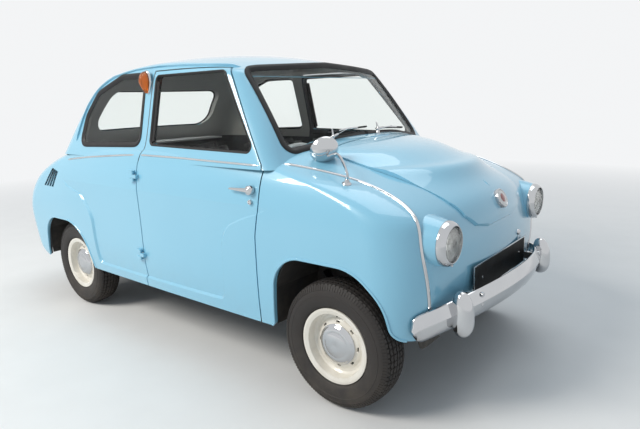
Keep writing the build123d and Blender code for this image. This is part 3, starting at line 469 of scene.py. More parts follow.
# %% Give every node its finish
DRESS = {"roof": paint_headlined, "front_body": paint_undersealed, "rear_body": paint_lined,
         "bonnet": paint_undersealed, "engine_lid": paint_undersealed, "door_panel": paint_lined,
         "floor_pan": underseal, "dashboard": dash_paint, "windscreen": window_glass,
         "rear_window": window_glass, "quarter_windows": window_glass, "door_glass": window_glass,
         "headlamps": chrome, "headlamp_lenses": lamp_glass, "indicator_lamps": amber_glass,
         "tail_lamps": red_glass, "front_bumper": chrome_dusty, "rear_bumper": chrome_dusty,
         "number_plates": plate_black, "mirror": chrome, "wipers": bright_trim, "front_seat": seat_vinyl,
         "rear_seat": seat_vinyl, "seat_frames": seat_tube, "gear_lever": dark_plastic,
         "steering_column": dark_plastic, "front_axle": axle_black, "rear_axle": axle_black,
         "engine": cast_alloy, "exhaust": rusty_steel, "door_handle": chrome, "nose_badge": chrome,
         "steering_wheel": grey_plastic, "steering_rack": bright_steel, "knuckle": axle_black,
         "rim": wheel_cream, "tyre": tyre_rubber, "hub_cap": chrome,}


def dress(node, material):
    """Replace what a node's mesh carries by one material."""
    node.data.materials.clear()
    node.data.materials.append(material)


for name, node in nodes.items():
    key = name if name in DRESS else next(k for k in DRESS if name.startswith(k))
    dress(node, DRESS[key])
print("dressed", len(nodes))

# %% [markdown]
# ## Making new pieces
# Every new piece starts as a primitive or as a section, is shaped in edit mode, and is
# finished the same way: its place goes into its mesh, its faces are turned outwards, its
# shading is smoothed up to an angle, and it gets a finish and a body to ride on.


# %% Helpers for new pieces
def only(piece):
    """Select one piece and nothing else."""
    bpy.ops.object.select_all(action="DESELECT")
    piece.select_set(True)
    bpy.context.view_layer.objects.active = piece


def edit(piece, select="SELECT"):
    """Open a piece in edit mode with all or nothing selected."""
    only(piece)
    bpy.ops.object.mode_set(mode="EDIT")
    bpy.ops.mesh.select_all(action=select)


def leave_edit():
    bpy.ops.object.mode_set(mode="OBJECT")


def turn_outwards(piece):
    edit(piece)
    bpy.ops.mesh.normals_make_consistent(inside=False)
    leave_edit()


def settle(piece, name, body, material, angle=35):
    """Put a piece's place into its mesh, finish it and give it a body."""
    piece.name = name
    piece.data.name = name
    only(piece)
    bpy.ops.object.transform_apply(location=True, rotation=True, scale=True)
    turn_outwards(piece)
    bpy.ops.object.shade_smooth_by_angle(angle=math.radians(angle))
    piece.data.materials.clear()
    piece.data.materials.append(material)
    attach(piece, body)
    return piece


def apply_all(piece):
    only(piece)
    for modifier in list(piece.modifiers):
        bpy.ops.object.modifier_apply(modifier=modifier.name)


def soften(piece, width=0.0, segments=2, levels=0):
    """Round a piece's edges with a bevel or a subdivision, and apply them."""
    if width:
        bevel = piece.modifiers.new("bevel", "BEVEL")
        bevel.width = width
        bevel.segments = segments
    if levels:
        smooth = piece.modifiers.new("smooth", "SUBSURF")
        smooth.levels = smooth.render_levels = levels
    apply_all(piece)


def block(centre, size, width=0.0, segments=2, turn=None):
    """A box with rounded edges, made from a cube."""
    only(floor)
    bpy.ops.mesh.primitive_cube_add(size=1, location=centre)
    piece = bpy.context.object
    piece.scale = size
    bpy.ops.object.transform_apply(location=False, rotation=False, scale=True)
    if turn:
        piece.rotation_euler = turn
    if width:
        soften(piece, width, segments)
    return piece


def twin(piece, name, matrix, body):
    """A copy with its own mesh, moved by a matrix. A mirrored copy is turned outwards."""
    copy = piece.copy()
    copy.data = piece.data.copy()
    scene.collection.objects.link(copy)
    copy.name = name
    copy.data.name = name
    copy.data.transform(matrix)
    if matrix.determinant() < 0:
        copy.data.flip_normals()
    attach(copy, body)
    return copy


MIRROR_Y = Matrix.Scale(-1, 4, (0, 1, 0))


def left_twin(piece, body):
    """The left-hand copy of a right-hand piece."""
    return twin(piece, piece.name.replace("right", "left"), MIRROR_Y, body)


def turned(points, centre, axis, steps=48, start=None):
    """A round piece: a section of (distance along the axis, radius) points, spun once round.

    The section is a circle primitive whose corners are moved to the points, in order."""
    axis = Vector(axis).normalized()
    side = Vector(start) if start else axis.orthogonal().normalized()
    only(floor)
    bpy.ops.mesh.primitive_circle_add(vertices=len(points), radius=0.1)
    piece = bpy.context.object
    for corner, (along, radius) in zip(piece.data.vertices, points):
        corner.co = Vector(centre) + axis * along + side * max(radius, 1e-5)
    edit(piece)
    bpy.ops.mesh.spin(steps=steps, angle=2 * math.pi, center=centre, axis=axis)
    bpy.ops.mesh.select_all(action="SELECT")
    bpy.ops.mesh.remove_doubles(threshold=3e-5)
    bpy.ops.mesh.dissolve_degenerate(threshold=1e-6)
    leave_edit()
    return piece


def lathe(name, body, material, points, centre, axis, steps=48):
    """A round piece with its finish and its body."""
    return settle(turned(points, centre, axis, steps), name, body, material)


def box(name, body, material, centre, size, width, segments, turn=None):
    """A rounded box with its finish and its body."""
    return settle(block(centre, size, width, segments, turn), name, body, material)


def arc_points(start, end, bulge, count=8):
    """Points on a shallow arc from start to end, bulging to the left of the way."""
    a, b = Vector(start), Vector(end)
    chord = b - a
    left = Vector((-chord.y, chord.x))
    points = []
    for i in range(count + 1):
        share = i / count
        rise = 4 * share * (1 - share) * bulge / chord.length
        points.append(tuple(a + chord * share + left * rise))
    return points


# %% [markdown]
# ### Beads and strips
# Window seals, mouldings, drip rails and rolled edges are all one thing: a small section
# led along a line on the body. The line is either the outer edge of a pane, which the
# pane's own mesh gives, or a line of points laid on the body by a ray. No primitive bends
# like that, so these meshes are built ring by ring.


# %% Lines on the body, and the sweep
def body_tree(*names):
    """The faces of some nodes, sorted so that rays find them."""
    corners, faces = [], []
    for name in names:
        mesh = nodes[name].data
        base = len(corners)
        corners.extend(v.co.copy() for v in mesh.vertices)
        faces.extend([base + k for k in p.vertices] for p in mesh.polygons)
    return BVHTree.FromPolygons(corners, faces)


def first_hit(tree, start, way):
    """Where a ray meets the car, and the car's outward way there."""
    way = Vector(way)
    hit, normal, _, _ = tree.ray_cast(Vector(start), way)
    return hit, (normal if normal.dot(way) < 0 else -normal)


def smooth_line(points, step=0.012, closed=False):
    """A rounded line through points, with a point about every step."""
    points = [Vector(p) for p in points]
    count = len(points)
    line = []
    for i in range(count if closed else count - 1):
        p1, p2 = points[i], points[(i + 1) % count]
        p0 = points[i - 1] if closed or i else p1 + (p1 - p2)
        p3 = points[(i + 2) % count] if closed or i + 2 < count else p2 + (p2 - p1)
        pieces = max(1, round((p2 - p1).length / step))
        for k in range(pieces):
            t = k / pieces
            line.append(0.5 * (2 * p1 + (p2 - p0) * t + (2 * p0 - 5 * p1 + 4 * p2 - p3) * t * t
                               + (3 * p1 - p0 - 3 * p2 + p3) * t ** 3))
    if not closed:
        line.append(points[-1])
    return line


def laid(tree, line, way, reach=1.9):
    """Lay a line on the body by rays, and give the points with the body's outward ways."""
    way = Vector(way)
    found = []
    for point in line:
        hit, normal, _, distance = tree.ray_cast(point - way * 2, way)
        if hit is not None and distance < reach:
            found.append((hit, normal if normal.dot(way) < 0 else -normal))
    return [p for p, _ in found], even_ways([n for _, n in found])


def even_ways(ways, passes=2):
    """Smooth the outward ways along a line, so that the bead does not twist."""
    for _ in range(passes):
        ways = [(ways[max(i - 1, 0)] + w * 2 + ways[min(i + 1, len(ways) - 1)]).normalized()
                for i, w in enumerate(ways)]
    return ways


def sweep(name, line, ways, section, closed=False, taper=0, heights=None):
    """Lead a closed section of (aside, out) points along a line and close its ends.

    The section shrinks over the last steps of a taper. Heights scale it aside, ring by ring."""
    count, corners = len(line), len(section)
    mesh = bmesh.new()
    rings = []
    for i, (point, way) in enumerate(zip(line, ways)):
        ahead = line[(i + 1) % count] if closed or i + 1 < count else point
        behind = line[i - 1] if closed or i else point
        along = (ahead - behind).normalized()
        aside = along.cross(way).normalized()
        out = aside.cross(along).normalized()
        share = 1.0
        if taper:
            share = min(1.0, (i + 0.35) / taper, (count - 1 - i + 0.35) / taper)
        tall = share * (heights[i] if heights else 1.0)
        rings.append([mesh.verts.new(point + aside * (a * tall) + out * (o * share if o > 0 else o))
                      for a, o in section])
    for i in range(count if closed else count - 1):
        one, two = rings[i], rings[(i + 1) % count]
        for k in range(corners):
            n = (k + 1) % corners
            mesh.faces.new((one[k], one[n], two[n], two[k]))
    if not closed:
        mesh.faces.new(rings[0])
        mesh.faces.new(rings[-1])
    piece = bpy.data.objects.new(name, bpy.data.meshes.new(name))
    scene.collection.objects.link(piece)
    mesh.to_mesh(piece.data)
    mesh.free()
    return piece


def bead(name, body, material, line, ways, section, **ends):
    """A swept piece with its finish and its body."""
    return settle(sweep(name, line, ways, section, **ends), name, body, material)


# %% [markdown]
# ### Edges of panes
# A pane is the sheet of smoothly joined faces that looks away from the cabin. Its outer
# edge is walked from corner to corner, and then gets points at even steps. A bead's
# section is a low arch or a round bar.

# %% Edges of panes, and sections
CABIN_MIDDLE = Vector((-0.05, 0, 0.95))


def pane_edges(node, smooth_angle=0.45):
    """The outer edge of each of a node's panes, in order, with the pane's outward ways."""
    mesh = bmesh.new()
    mesh.from_mesh(nodes[node].data)
    bmesh.ops.remove_doubles(mesh, verts=mesh.verts, dist=2e-5)
    sheets, seen = [], set()
    for first in mesh.faces:
        if first in seen:
            continue
        sheet, edge_on = {first}, [first]
        while edge_on:
            face = edge_on.pop()
            for edge in face.edges:
                if len(edge.link_faces) == 2 and edge.calc_face_angle(0) < smooth_angle:
                    for other in edge.link_faces:
                        if other not in sheet:
                            sheet.add(other)
                            edge_on.append(other)
        seen |= sheet
        area = sum(f.calc_area() for f in sheet)
        middle = sum((f.calc_center_median() * f.calc_area() for f in sheet), Vector()) / area
        way = sum((f.normal * f.calc_area() for f in sheet), Vector())
        sheets.append((area, way.dot(middle - CABIN_MIDDLE), sheet))
    largest = max(area for area, _, _ in sheets)
    found = []
    for area, outwards, sheet in sheets:
        if area < largest * 0.3 or outwards < 0:
            continue
        near, ways = {}, {}
        for face in sheet:
            for edge in face.edges:
                if any(f not in sheet for f in edge.link_faces):
                    a, b = edge.verts
                    near.setdefault(a, []).append(b)
                    near.setdefault(b, []).append(a)
                    ways[a] = ways[b] = face.normal.copy()
        here, loop = next(iter(near)), []
        while here is not None:
            loop.append(here)
            here = next((v for v in near[here] if v not in loop), None)
        found.append(([v.co.copy() for v in loop], [ways[v] for v in loop]))
    mesh.free()
    return found


def even_loop(line, ways, step=0.008):
    """Put points at even steps along a closed line, and carry the ways with them."""
    lengths = [(line[(i + 1) % len(line)] - p).length for i, p in enumerate(line)]
    total = sum(lengths)
    count = max(24, round(total / step))
    new_line, new_ways, i, walked = [], [], 0, 0.0
    for k in range(count):
        target = total * k / count
        while walked + lengths[i] < target:
            walked += lengths[i]
            i += 1
        share = (target - walked) / lengths[i]
        j = (i + 1) % len(line)
        new_line.append(line[i].lerp(line[j], share))
        new_ways.append(ways[i].lerp(ways[j], share).normalized())
    for _ in range(3):
        new_ways = [(new_ways[n - 1] + w * 2 + new_ways[(n + 1) % count]).normalized() for n,
                    w in enumerate(new_ways)]
    return new_line, new_ways


def facing_out(line, ways):
    """Turn a loop so that a section's positive side lies away from the loop's middle."""
    middle = sum(line, Vector()) / len(line)
    test = (line[1] - line[-1]).cross(ways[0])
    if test.dot(line[0] - middle) < 0:
        line, ways = line[::-1], ways[::-1]
    return line, ways


def half_round(width, height, base=-0.001):
    """A bead's section: a low arch that stands on the body."""
    w = width / 2
    return [(-w, base), (w, base), (w, height * 0.35), (w * 0.72, height * 0.8), (w * 0.3, height * 0.98),
            (-w * 0.3, height * 0.98), (-w * 0.72, height * 0.8), (-w, height * 0.35)]


def round_section(half_width, half_height, count=8):
    """A round or oval section with a number of corners."""
    angles = [k * 2 * math.pi / count for k in range(count)]
    return [(half_width * math.cos(a), half_height * math.sin(a)) for a in angles]


print("helpers ready")

# %% [markdown]
# ## Window seals
# Each pane sits in a rubber seal that laps over the glass and the body. The bead follows
# the pane's own edge. The windscreen's seal is broad, those of the doors are thin, and the
# pane at the back of each side has a heavy one. An upright channel closes the gap behind
# each door's pane.

# %% Seals round the panes
RIM = 0.005


def seal_section(over_glass, over_body, rise):
    """Aside is measured from the pane's edge, out from the pane's face. The body is 5 mm up."""
    top = RIM + rise
    return [(-over_glass, 0.0002), (over_body * 0.5, -0.003), (over_body, RIM - 0.0008),
            (over_body, RIM + rise * 0.45), (over_body * 0.72, top), (over_body * 0.2, top),
            (-over_glass * 0.55, RIM * 0.75), (-over_glass, 0.0016)]


SEALS = {"windscreen": ("body", 0.01, 0.019, 0.0035, 0), "rear_window": ("body", 0.008, 0.014, 0.003, 0),
         "quarter_windows": ("body", 0.012, 0.015, 0.0035, 8),
         "door_glass_right": ("door_right", 0.006, 0.0045, 0.0015, 0),
         "door_glass_left": ("door_left", 0.006, 0.0045, 0.0015, 0)}
CHANNEL_WIDTH, CHANNEL_REACH, CHANNEL_END = 0.024, 0.045, 0.02


def eased(line, passes):
    """Round a closed line's corners by averaging neighbours."""
    for _ in range(passes):
        line = [(line[i - 1] + p * 2 + line[(i + 1) % len(line)]) / 4 for i, p in enumerate(line)]
    return line


def rear_channel(node, body, line, ways):
    """A flat strip along the rear edge of a door's pane, short of its corners."""
    rearmost = min(p.x for p in line)
    high, low = max(p.z for p in line) - CHANNEL_END, min(p.z for p in line) + CHANNEL_END
    edge = [(p, w) for p, w in zip(line, ways) if p.x < rearmost + CHANNEL_REACH and low < p.z < high]
    edge.sort(key=lambda pair: pair[0].z)
    aside = 1 if node.endswith("right") else -1
    inner_edge, outer_edge = -0.002 * aside, CHANNEL_WIDTH * aside
    bead(f"{node}_channel", body, seal_rubber, [p for p, _ in edge], [w for _, w in edge],
         [(inner_edge, -0.0075), (inner_edge, -0.0055), (inner_edge, 0.0007),
          (outer_edge, 0.0007), (outer_edge, -0.0055), (outer_edge, -0.0075)])
    print(node, "channel from", round(edge[0][0].z, 3), "to", round(edge[-1][0].z, 3))


for node, (body, over_glass, over_body, rise, passes) in SEALS.items():
    for number, (line, ways) in enumerate(pane_edges(node)):
        line, ways = facing_out(*even_loop(line, ways))
        line = eased(line, passes)
        seal = bead(f"{node}_seal_{number}", body, seal_rubber, line, ways,
                    seal_section(over_glass, over_body, rise), closed=True)
        print(seal.name, len(line), "points")
        if node.startswith("door"):
            rear_channel(node, body, line, ways)

# %% [markdown]
# ## Mouldings, drip rails and rolled edges
# A thin bright moulding runs along the belt, a bright strip runs over each front fender
# and down beside the lamp, a painted rail under the roof's edge catches the rain, and the
# wheel arches have rolled edges. They are laid on the right-hand side and mirrored.

# %% Belt mouldings
body_side = body_tree("roof", "rear_body", "front_body", "bonnet")
door_side = body_tree("door_panel_right")
BELT = [(-0.8, 0.821), (-0.756, 0.827), (-0.6, 0.843), (-0.443, 0.855), (-0.27, 0.867), (-0.148, 0.874)]
DOOR_BELT = [(-0.134, 0.8745), (-0.095, 0.8755), (0.1, 0.875), (0.316, 0.8715), (0.5, 0.8685), (0.664, 0.866)]
EAST = (0, 1, 0)
TRIM = half_round(0.0085, 0.0042)


def side_strip(name, tree, points, section, body, material, step=0.012, taper=2):
    """A strip on the right-hand side, and its mirrored twin."""
    line = smooth_line([(x, 0, z) for x, z in points], step)
    strip = bead(name, body, material, *laid(tree, line, EAST), section, taper=taper)
    return strip, left_twin(strip, body.replace("right", "left"))


side_strip("belt_moulding_rear_right", body_side, BELT, TRIM, "body", bright_trim)
side_strip("belt_moulding_door_right", door_side, DOOR_BELT, TRIM, "door_right", bright_trim)
print("belt mouldings laid")

# %% [markdown]
# ### Air slots
# Four leaning slots are cut through the skin on each side behind the door, in the solids
# too. A thin black bead along either edge is painted shade: it stands for the shadow in the
# pressed edge, and lets the slots be seen from afar.

# %% Slot edges in painted shade
SLOTS, SLOT_HALF = 4, 0.0076
SLOT_FOOT = ((-1.08, 0.666), (-0.958, 0.664))
SLOT_HEAD = ((-0.972, 0.769), (-0.902, 0.751))
for number in range(SLOTS):
    share = (number + 0.5) / SLOTS
    foot, head = (Vector(a).lerp(Vector(b), share) for a, b in (SLOT_FOOT, SLOT_HEAD))
    for edge, aside in (("rear", -SLOT_HALF), ("front", SLOT_HALF)):
        # Each edge bead is painted shade: a black rubber strip that stands for the shadow in the slot's
        # pressed edge.
        side_strip(f"air_slot_{number}_{edge}_right", body_side,
                   [(foot.x + aside, foot.y), (head.x + aside, head.y)], half_round(0.0042, 0.0009), "body",
                   seal_rubber, 0.02, 0)
print("slot edges laid", SLOTS)

# %% [markdown]
# ### Fender strip, drip rail and the roof's lip
# The strip runs over the front wing, where no ray from one side meets it everywhere, so
# its points are laid towards the middle of the wing. The rail and the lip are painted.

# %% Fender strips
FENDER_STRIP = [
    (0.716, -0.533, 0.869), (0.807, -0.508, 0.856), (0.876, -0.491, 0.8445), (0.948, -0.478, 0.831),
    (1.0, -0.471, 0.82), (1.055, -0.4675, 0.805), (1.111, -0.467, 0.787), (1.165, -0.47, 0.765),
    (1.207, -0.4785, 0.744), (1.236, -0.489, 0.724), (1.257, -0.5005, 0.701), (1.27, -0.508, 0.674),
    (1.277, -0.5125, 0.643), (1.283, -0.5135, 0.608), (1.289, -0.511, 0.569), (1.295, -0.505, 0.522),
    (1.297, -0.496, 0.469), (1.296, -0.485, 0.412), (1.294, -0.477, 0.372)]


def laid_from_inside(tree, line):
    """Lay a line on the body from outside, each point towards the middle of the wing."""
    points, ways = [], []
    for point in line:
        inwards = (Vector((point.x * 0.62, -0.17, 0.47)) - point).normalized()
        hit, way = first_hit(tree, point - inwards * 0.3, inwards)
        points.append(hit)
        ways.append(way)
    return points, even_ways(ways, 4)


line, ways = laid_from_inside(body_side, smooth_line(FENDER_STRIP, 0.012))
strip = bead("fender_strip_right", "body", chrome, line, ways, half_round(0.0125, 0.0055), taper=2)
left_twin(strip, "body")
print("fender strip", len(line), "points, ends at", [round(v, 3) for v in line[-1]])

# %% Drip rails
GUTTER = [(0.414, 1.237), (0.372, 1.2423), (0.33, 1.246), (0.25, 1.252), (0.15, 1.2585), (0.0, 1.263),
          (-0.094, 1.263), (-0.2, 1.2605), (-0.281, 1.255), (-0.36, 1.245), (-0.445, 1.231), (-0.56, 1.183),
          (-0.64, 1.106), (-0.69, 1.015), (-0.722, 0.92)]
RAIL = [(-0.005, -0.001), (0.007, -0.001), (0.007, 0.0045), (0.0062, 0.0085), (0.0035, 0.0095),
        (0.001, 0.0085), (-0.0015, 0.005), (-0.005, 0.0035)]
line, ways = laid(body_side, smooth_line([(x, 0, z) for x, z in GUTTER], 0.012), EAST)
rail = bead("drip_rail_right", "body", paint, line, ways, [(-a, o) for a, o in reversed(RAIL)], taper=3)
left_twin(rail, "body")
print("drip rail", len(line), "points")

# %% The roof's lip over the windscreen
LIP_HALF = 0.462
lip_line = smooth_line([(0.6, y, 1.2545 - 0.03 * (abs(y) / LIP_HALF) ** 3) for y in
                        (-LIP_HALF, -0.36, -0.24, -0.12, 0.0, 0.12, 0.24, 0.36, LIP_HALF)], 0.015)
LIP = [(-0.016, -0.002), (0.011, -0.002), (0.0125, 0.004), (0.011, 0.0085), (0.006, 0.01), (-0.002, 0.0075),
       (-0.01, 0.003)]
line, ways = laid(body_side, lip_line, (-1, 0, -0.25), 2.4)
bead("windscreen_lip", "body", paint, line, ways, LIP, taper=3)
print("lip", len(line), "points", [round(v, 3) for v in line[len(line) // 2]])


# %% [markdown]
# ### Rolled edges of the wheel arches
# The cut edge of an arch is the longest run of sharp edges that face the hub.

# %% Rolled edges
def arch_edge(node, hub_x):
    """The outer edge of a wheel arch on the right-hand side: its longest run, in order."""
    mesh = bmesh.new()
    mesh.from_mesh(nodes[node].data)
    bmesh.ops.remove_doubles(mesh, verts=mesh.verts, dist=2e-5)
    near, ways = {}, {}
    for edge in mesh.edges:
        if len(edge.link_faces) != 2 or edge.calc_face_angle(0) < 0.8:
            continue
        skin, cut = sorted(edge.link_faces, key=lambda f: f.normal.y)
        a, b = edge.verts
        to_hub = Vector((hub_x, 0, 0.3)) - a.co
        to_hub.y = 0
        out_of_reach = a.co.y > -0.4 or a.co.z > 0.57 or abs(a.co.x - hub_x) > 0.36
        if out_of_reach or skin.normal.y > -0.35 or cut.normal.dot(to_hub.normalized()) < 0.3:
            continue
        near.setdefault(a, []).append(b)
        near.setdefault(b, []).append(a)
        ways[a] = ways[b] = skin.normal.copy()
    runs, seen = [], set()
    for first in sorted(near, key=lambda v: len(near[v])):
        run, here = [], first
        while here is not None and here not in seen:
            run.append(here)
            seen.add(here)
            here = next((v for v in near[here] if v not in seen), None)
        runs.append(run)
    longest = max(runs, key=len)
    found = [v.co.copy() for v in longest], [ways[v] for v in longest]
    mesh.free()
    return found


EDGE = [(-0.005, -0.006), (0.004, -0.006), (0.005, 0.0005), (0.003, 0.0032), (0.0, 0.004), (-0.003, 0.0032),
        (-0.005, 0.0005)]
for node, hub_x in (("front_body", 0.98), ("rear_body", -0.82)):
    corner_points, corner_ways = arch_edge(node, hub_x)
    edge = bead(f"{node}_arch_edge_right", "body", paint, corner_points, even_ways(corner_ways, 3), EDGE)
    left_twin(edge, "body")
    print(node, "arch", len(corner_points), [round(v, 3) for v in corner_points[0]],
          [round(v, 3) for v in corner_points[-1]])

# %% [markdown]
# ### Bonnet ridge and badge
# A slim pressed ridge divides the bonnet and ends at the round badge. The badge is plain:
# a chrome ring round a white band and a red middle.

# %% Bonnet ridge and badge
bonnet_top = body_tree("bonnet")
line = [(x, 0, 1.2) for x in (0.806, 0.9, 1.0, 1.1, 1.2, 1.275)]
line, ways = laid(bonnet_top, smooth_line(line, 0.02), (0, 0, -1))
more, more_ways = laid(bonnet_top, [Vector((1.5, 0, z)) for z in (0.775, 0.765, 0.756)], (-1, 0, 0), 2.4)
bead("bonnet_ridge", "bonnet", paint, line + more, even_ways(ways + more_ways, 3), half_round(0.011, 0.0035),
     taper=2)

badge_at, badge_way = Vector((1.3365, 0, 0.7095)), Vector((14, 0, 7)).normalized()
ring = lathe("badge_ring", "bonnet", chrome,
             [(-0.012, 0), (-0.012, 0.036), (0.004, 0.038), (0.0095, 0.0372), (0.0115, 0.0345),
              (0.0105, 0.0325), (0.0085, 0.0318), (0.0085, 0)], badge_at, badge_way, 48)
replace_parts(ring, "nose_badge")
lathe("badge_band", "bonnet", white_enamel,
      [(0.004, 0), (0.004, 0.0316), (0.0092, 0.0312), (0.0104, 0.028), (0.011, 0.018), (0.011, 0)], badge_at,
      badge_way, 48)
lathe("badge_middle", "bonnet", red_enamel,
      [(0.008, 0), (0.008, 0.0176), (0.0122, 0.017), (0.0138, 0.01), (0.0142, 0)], badge_at, badge_way, 32)
print("badge at", [round(v, 3) for v in badge_at])

# %% [markdown]
# ## Lamps
# The headlamp is a domed chrome rim that holds a fluted lens. Behind the lens are a bright
# dish and a bulb, which give the lamp its depth. All are round, so each is a section spun
# about the lamp's axis.

# %% Headlamps
LAMP_AT = Vector((0, -0.426, 0.629))
FORWARD = Vector((1, 0, 0))
rim_section = ([(1.3224, 0.064), (1.3224, 0.0762), (1.325, 0.0772)]
               + arc_points((1.327, 0.077), (1.352, 0.0625), 0.0042, 9)
               + [(1.3515, 0.0604), (1.347, 0.0598), (1.344, 0.0604), (1.338, 0.0604), (1.338, 0.064)])
rim = lathe("headlamp_rim_right", "body", chrome, rim_section, LAMP_AT, FORWARD, 72)
left_twin(rim, "body")
dish_section = [(1.264, 0.001), (1.264, 0.02), (1.28, 0.045), (1.305, 0.06), (1.337, 0.063), (1.339, 0.06),
                (1.337, 0.0588), (1.308, 0.056), (1.284, 0.042), (1.269, 0.018), (1.268, 0.001)]
dish = lathe("headlamp_dish_right", "body", mirror_silver, dish_section, LAMP_AT, FORWARD, 64)
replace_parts(dish, "headlamps")
left_twin(dish, "body")
bulb = lathe("headlamp_bulb_right", "body", bulb_glass,
             [(1.2685, 0.0), (1.2685, 0.011), (1.286, 0.011), (1.288, 0.0085), (1.298, 0.0105),
              (1.31, 0.0085), (1.316, 0.0)], LAMP_AT, FORWARD, 24)
left_twin(bulb, "body")
screw = lathe("headlamp_screw_right", "body", chrome,
              [(1.335, 0.0), (1.335, 0.004), (1.346, 0.004), (1.3475, 0.003), (1.3478, 0.0)],
              LAMP_AT + Vector((0, 0, -0.0715)), (1, 0, 0), 12)
left_twin(screw, "body")
print("headlamps made")

# %% [markdown]
# ### Pillar lamps
# The amber direction lamps on the rear door posts are drop-shaped: a chrome back plate and
# an amber cap, broad above and narrow below. A ball is stretched and tapered, and a
# slanting plane cuts it off at the post.

# %% Pillar lamps
def drop(centre, size, point, rings=24, segments=32):
    """A flattened ball that narrows downwards to a rounded point."""
    only(floor)
    bpy.ops.mesh.primitive_uv_sphere_add(segments=segments, ring_count=rings, radius=0.5, location=(0, 0, 0))
    piece = bpy.context.object
    for corner in piece.data.vertices:
        x, y, z = corner.co
        down = max(0.0, -z / 0.5)
        narrow = 1 - point * down ** 1.5
        corner.co = (x * size[0] * narrow, y * size[1] * (1 - 0.4 * down),
                     z * size[2] - 0.04 * size[2] * down)
    piece.location = centre
    return piece


POST_AT = Vector((-0.106, -0.5285, 1.198))
for name, size, aside, material in (("pillar_lamp_plate_right", (0.064, 0.03, 0.104), -0.001, chrome),
                                    ("pillar_lamp_right", (0.055, 0.064, 0.094), -0.01, amber_glass)):
    lamp = drop(POST_AT + Vector((0, aside, 0)), size, 0.55)
    edit(lamp, "DESELECT")
    bpy.ops.mesh.select_all(action="SELECT")
    bpy.ops.mesh.bisect(plane_co=POST_AT + Vector((0, 0.01, 0)) - lamp.location, plane_no=(0, -1, 0.22),
                        use_fill=True, clear_inner=True)
    leave_edit()
    settle(lamp, name, "body", material, 60)
    left_twin(lamp, "body")
    if material is amber_glass:
        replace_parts(lamp, "indicator_lamps")
print("pillar lamps made")

# %% [markdown]
# ## Number plates
# A plate is a thin black block. Its face is inset twice, which leaves a raised edge in a
# bright finish, and a screw sits at either side. The face stays blank.

# %% Number plates
PLATE_HALF, EDGE_SHARE, SCREW_Y = 0.26, 0.955, 0.19


def plate(name, x, z0, z1, way):
    """A plate with a thin raised edge in a bright finish."""
    middle, half_height = (z0 + z1) / 2, (z1 - z0) / 2
    piece = block((x, 0, middle), (0.003, 2 * PLATE_HALF, z1 - z0))
    edit(piece, "DESELECT")
    leave_edit()
    front = max(piece.data.polygons, key=lambda f: f.normal.x * way)
    front.select = True
    bpy.ops.object.mode_set(mode="EDIT")
    bpy.ops.mesh.select_mode(type="FACE")
    bpy.ops.mesh.inset(thickness=0.004)
    bpy.ops.mesh.inset(thickness=0.0008, depth=-0.0012)
    leave_edit()
    settle(piece, name, "body", plate_black, 20)
    piece.data.materials.append(bright_trim)
    for face in piece.data.polygons:
        outer = max(abs(face.center.y) / PLATE_HALF, abs(face.center.z - middle) / half_height)
        if outer > EDGE_SHARE:
            face.material_index = 1
    return piece


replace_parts(plate("front_plate", 1.3511, 0.398, 0.509, 1), "number_plates")
plate("rear_plate", -1.4005, 0.472, 0.58, -1)
for end, x, z, way in (("front", 1.3525, 0.4535, 1), ("rear", -1.4018, 0.526, -1)):
    for side, y in (("r", -SCREW_Y), ("l", SCREW_Y)):
        lathe(f"plate_screw_{end}_{side}", "body", bright_trim,
              [(-0.003, 0), (-0.003, 0.0045), (0.0012, 0.0045), (0.0022, 0.003), (0.0024, 0)], (x, y, z),
              (way, 0, 0), 12)
print("plates framed")

# %% [markdown]
# ## Tyres
# A crossply tyre of the time has a smooth sidewall with two thin rings, a band of fine
# ribs on the shoulder, and a tread of narrow ribs with zigzag grooves and small cuts. The
# section is spun in many steps. The grooves' corners are then pushed aside in turn,
# alternate faces of the shoulder band are raised, and some of the tread's are cut in. One
# tyre is made and copied to the other wheels.

# %% The tyre
HUB = Vector((0.98, -0.545, 0.237))
WEST = Vector((0, -1, 0))
STEPS = 252
half = [(0.0465, 0.1262), (0.0462, 0.14), (0.05, 0.146), (0.0535, 0.1475), (0.0552, 0.15), (0.0572, 0.156),
        (0.0604, 0.166), (0.0615, 0.176), (0.0618, 0.185), (0.0616, 0.1905), (0.0624, 0.1915),
        (0.0622, 0.1935), (0.061, 0.1945), (0.06, 0.204), (0.0585, 0.2085), (0.0592, 0.2095), (0.056, 0.217),
        (0.052, 0.2245), (0.05, 0.2262), (0.0465, 0.2305), (0.044, 0.2308), (0.0425, 0.2255), (0.04, 0.2255),
        (0.039, 0.2328), (0.029, 0.2347), (0.028, 0.2285), (0.0245, 0.2285), (0.0235, 0.2356), (0.01, 0.2366),
        (0.009, 0.23), (0.0055, 0.23), (0.0045, 0.2368)]
tyre_section = half + [(-a, r) for a, r in reversed(half)]
tyre = turned(tyre_section, HUB, WEST, STEPS, start=(0, 0, 1))


def place_on_tyre(point):
    """A point's radius, its distance from the tyre's middle plane and its angle in steps."""
    x, z = point.x - HUB.x, point.z - HUB.z
    return math.hypot(x, z), abs(point.y - HUB.y), math.atan2(z, x) / (2 * math.pi) * STEPS % STEPS


def pick_band(piece, low_r, high_r, low_a, high_a, every):
    """Select the faces of a band round the tyre, one of every few, and stay in edit mode."""
    edit(piece, "DESELECT")
    bpy.ops.mesh.select_mode(type="FACE")
    leave_edit()
    count = 0
    for face in piece.data.polygons:
        radius, aside, step = place_on_tyre(face.center)
        if low_r < radius < high_r and low_a < aside < high_a and int(step) % every == 0:
            face.select = True
            count += 1
    bpy.ops.object.mode_set(mode="EDIT")
    return count


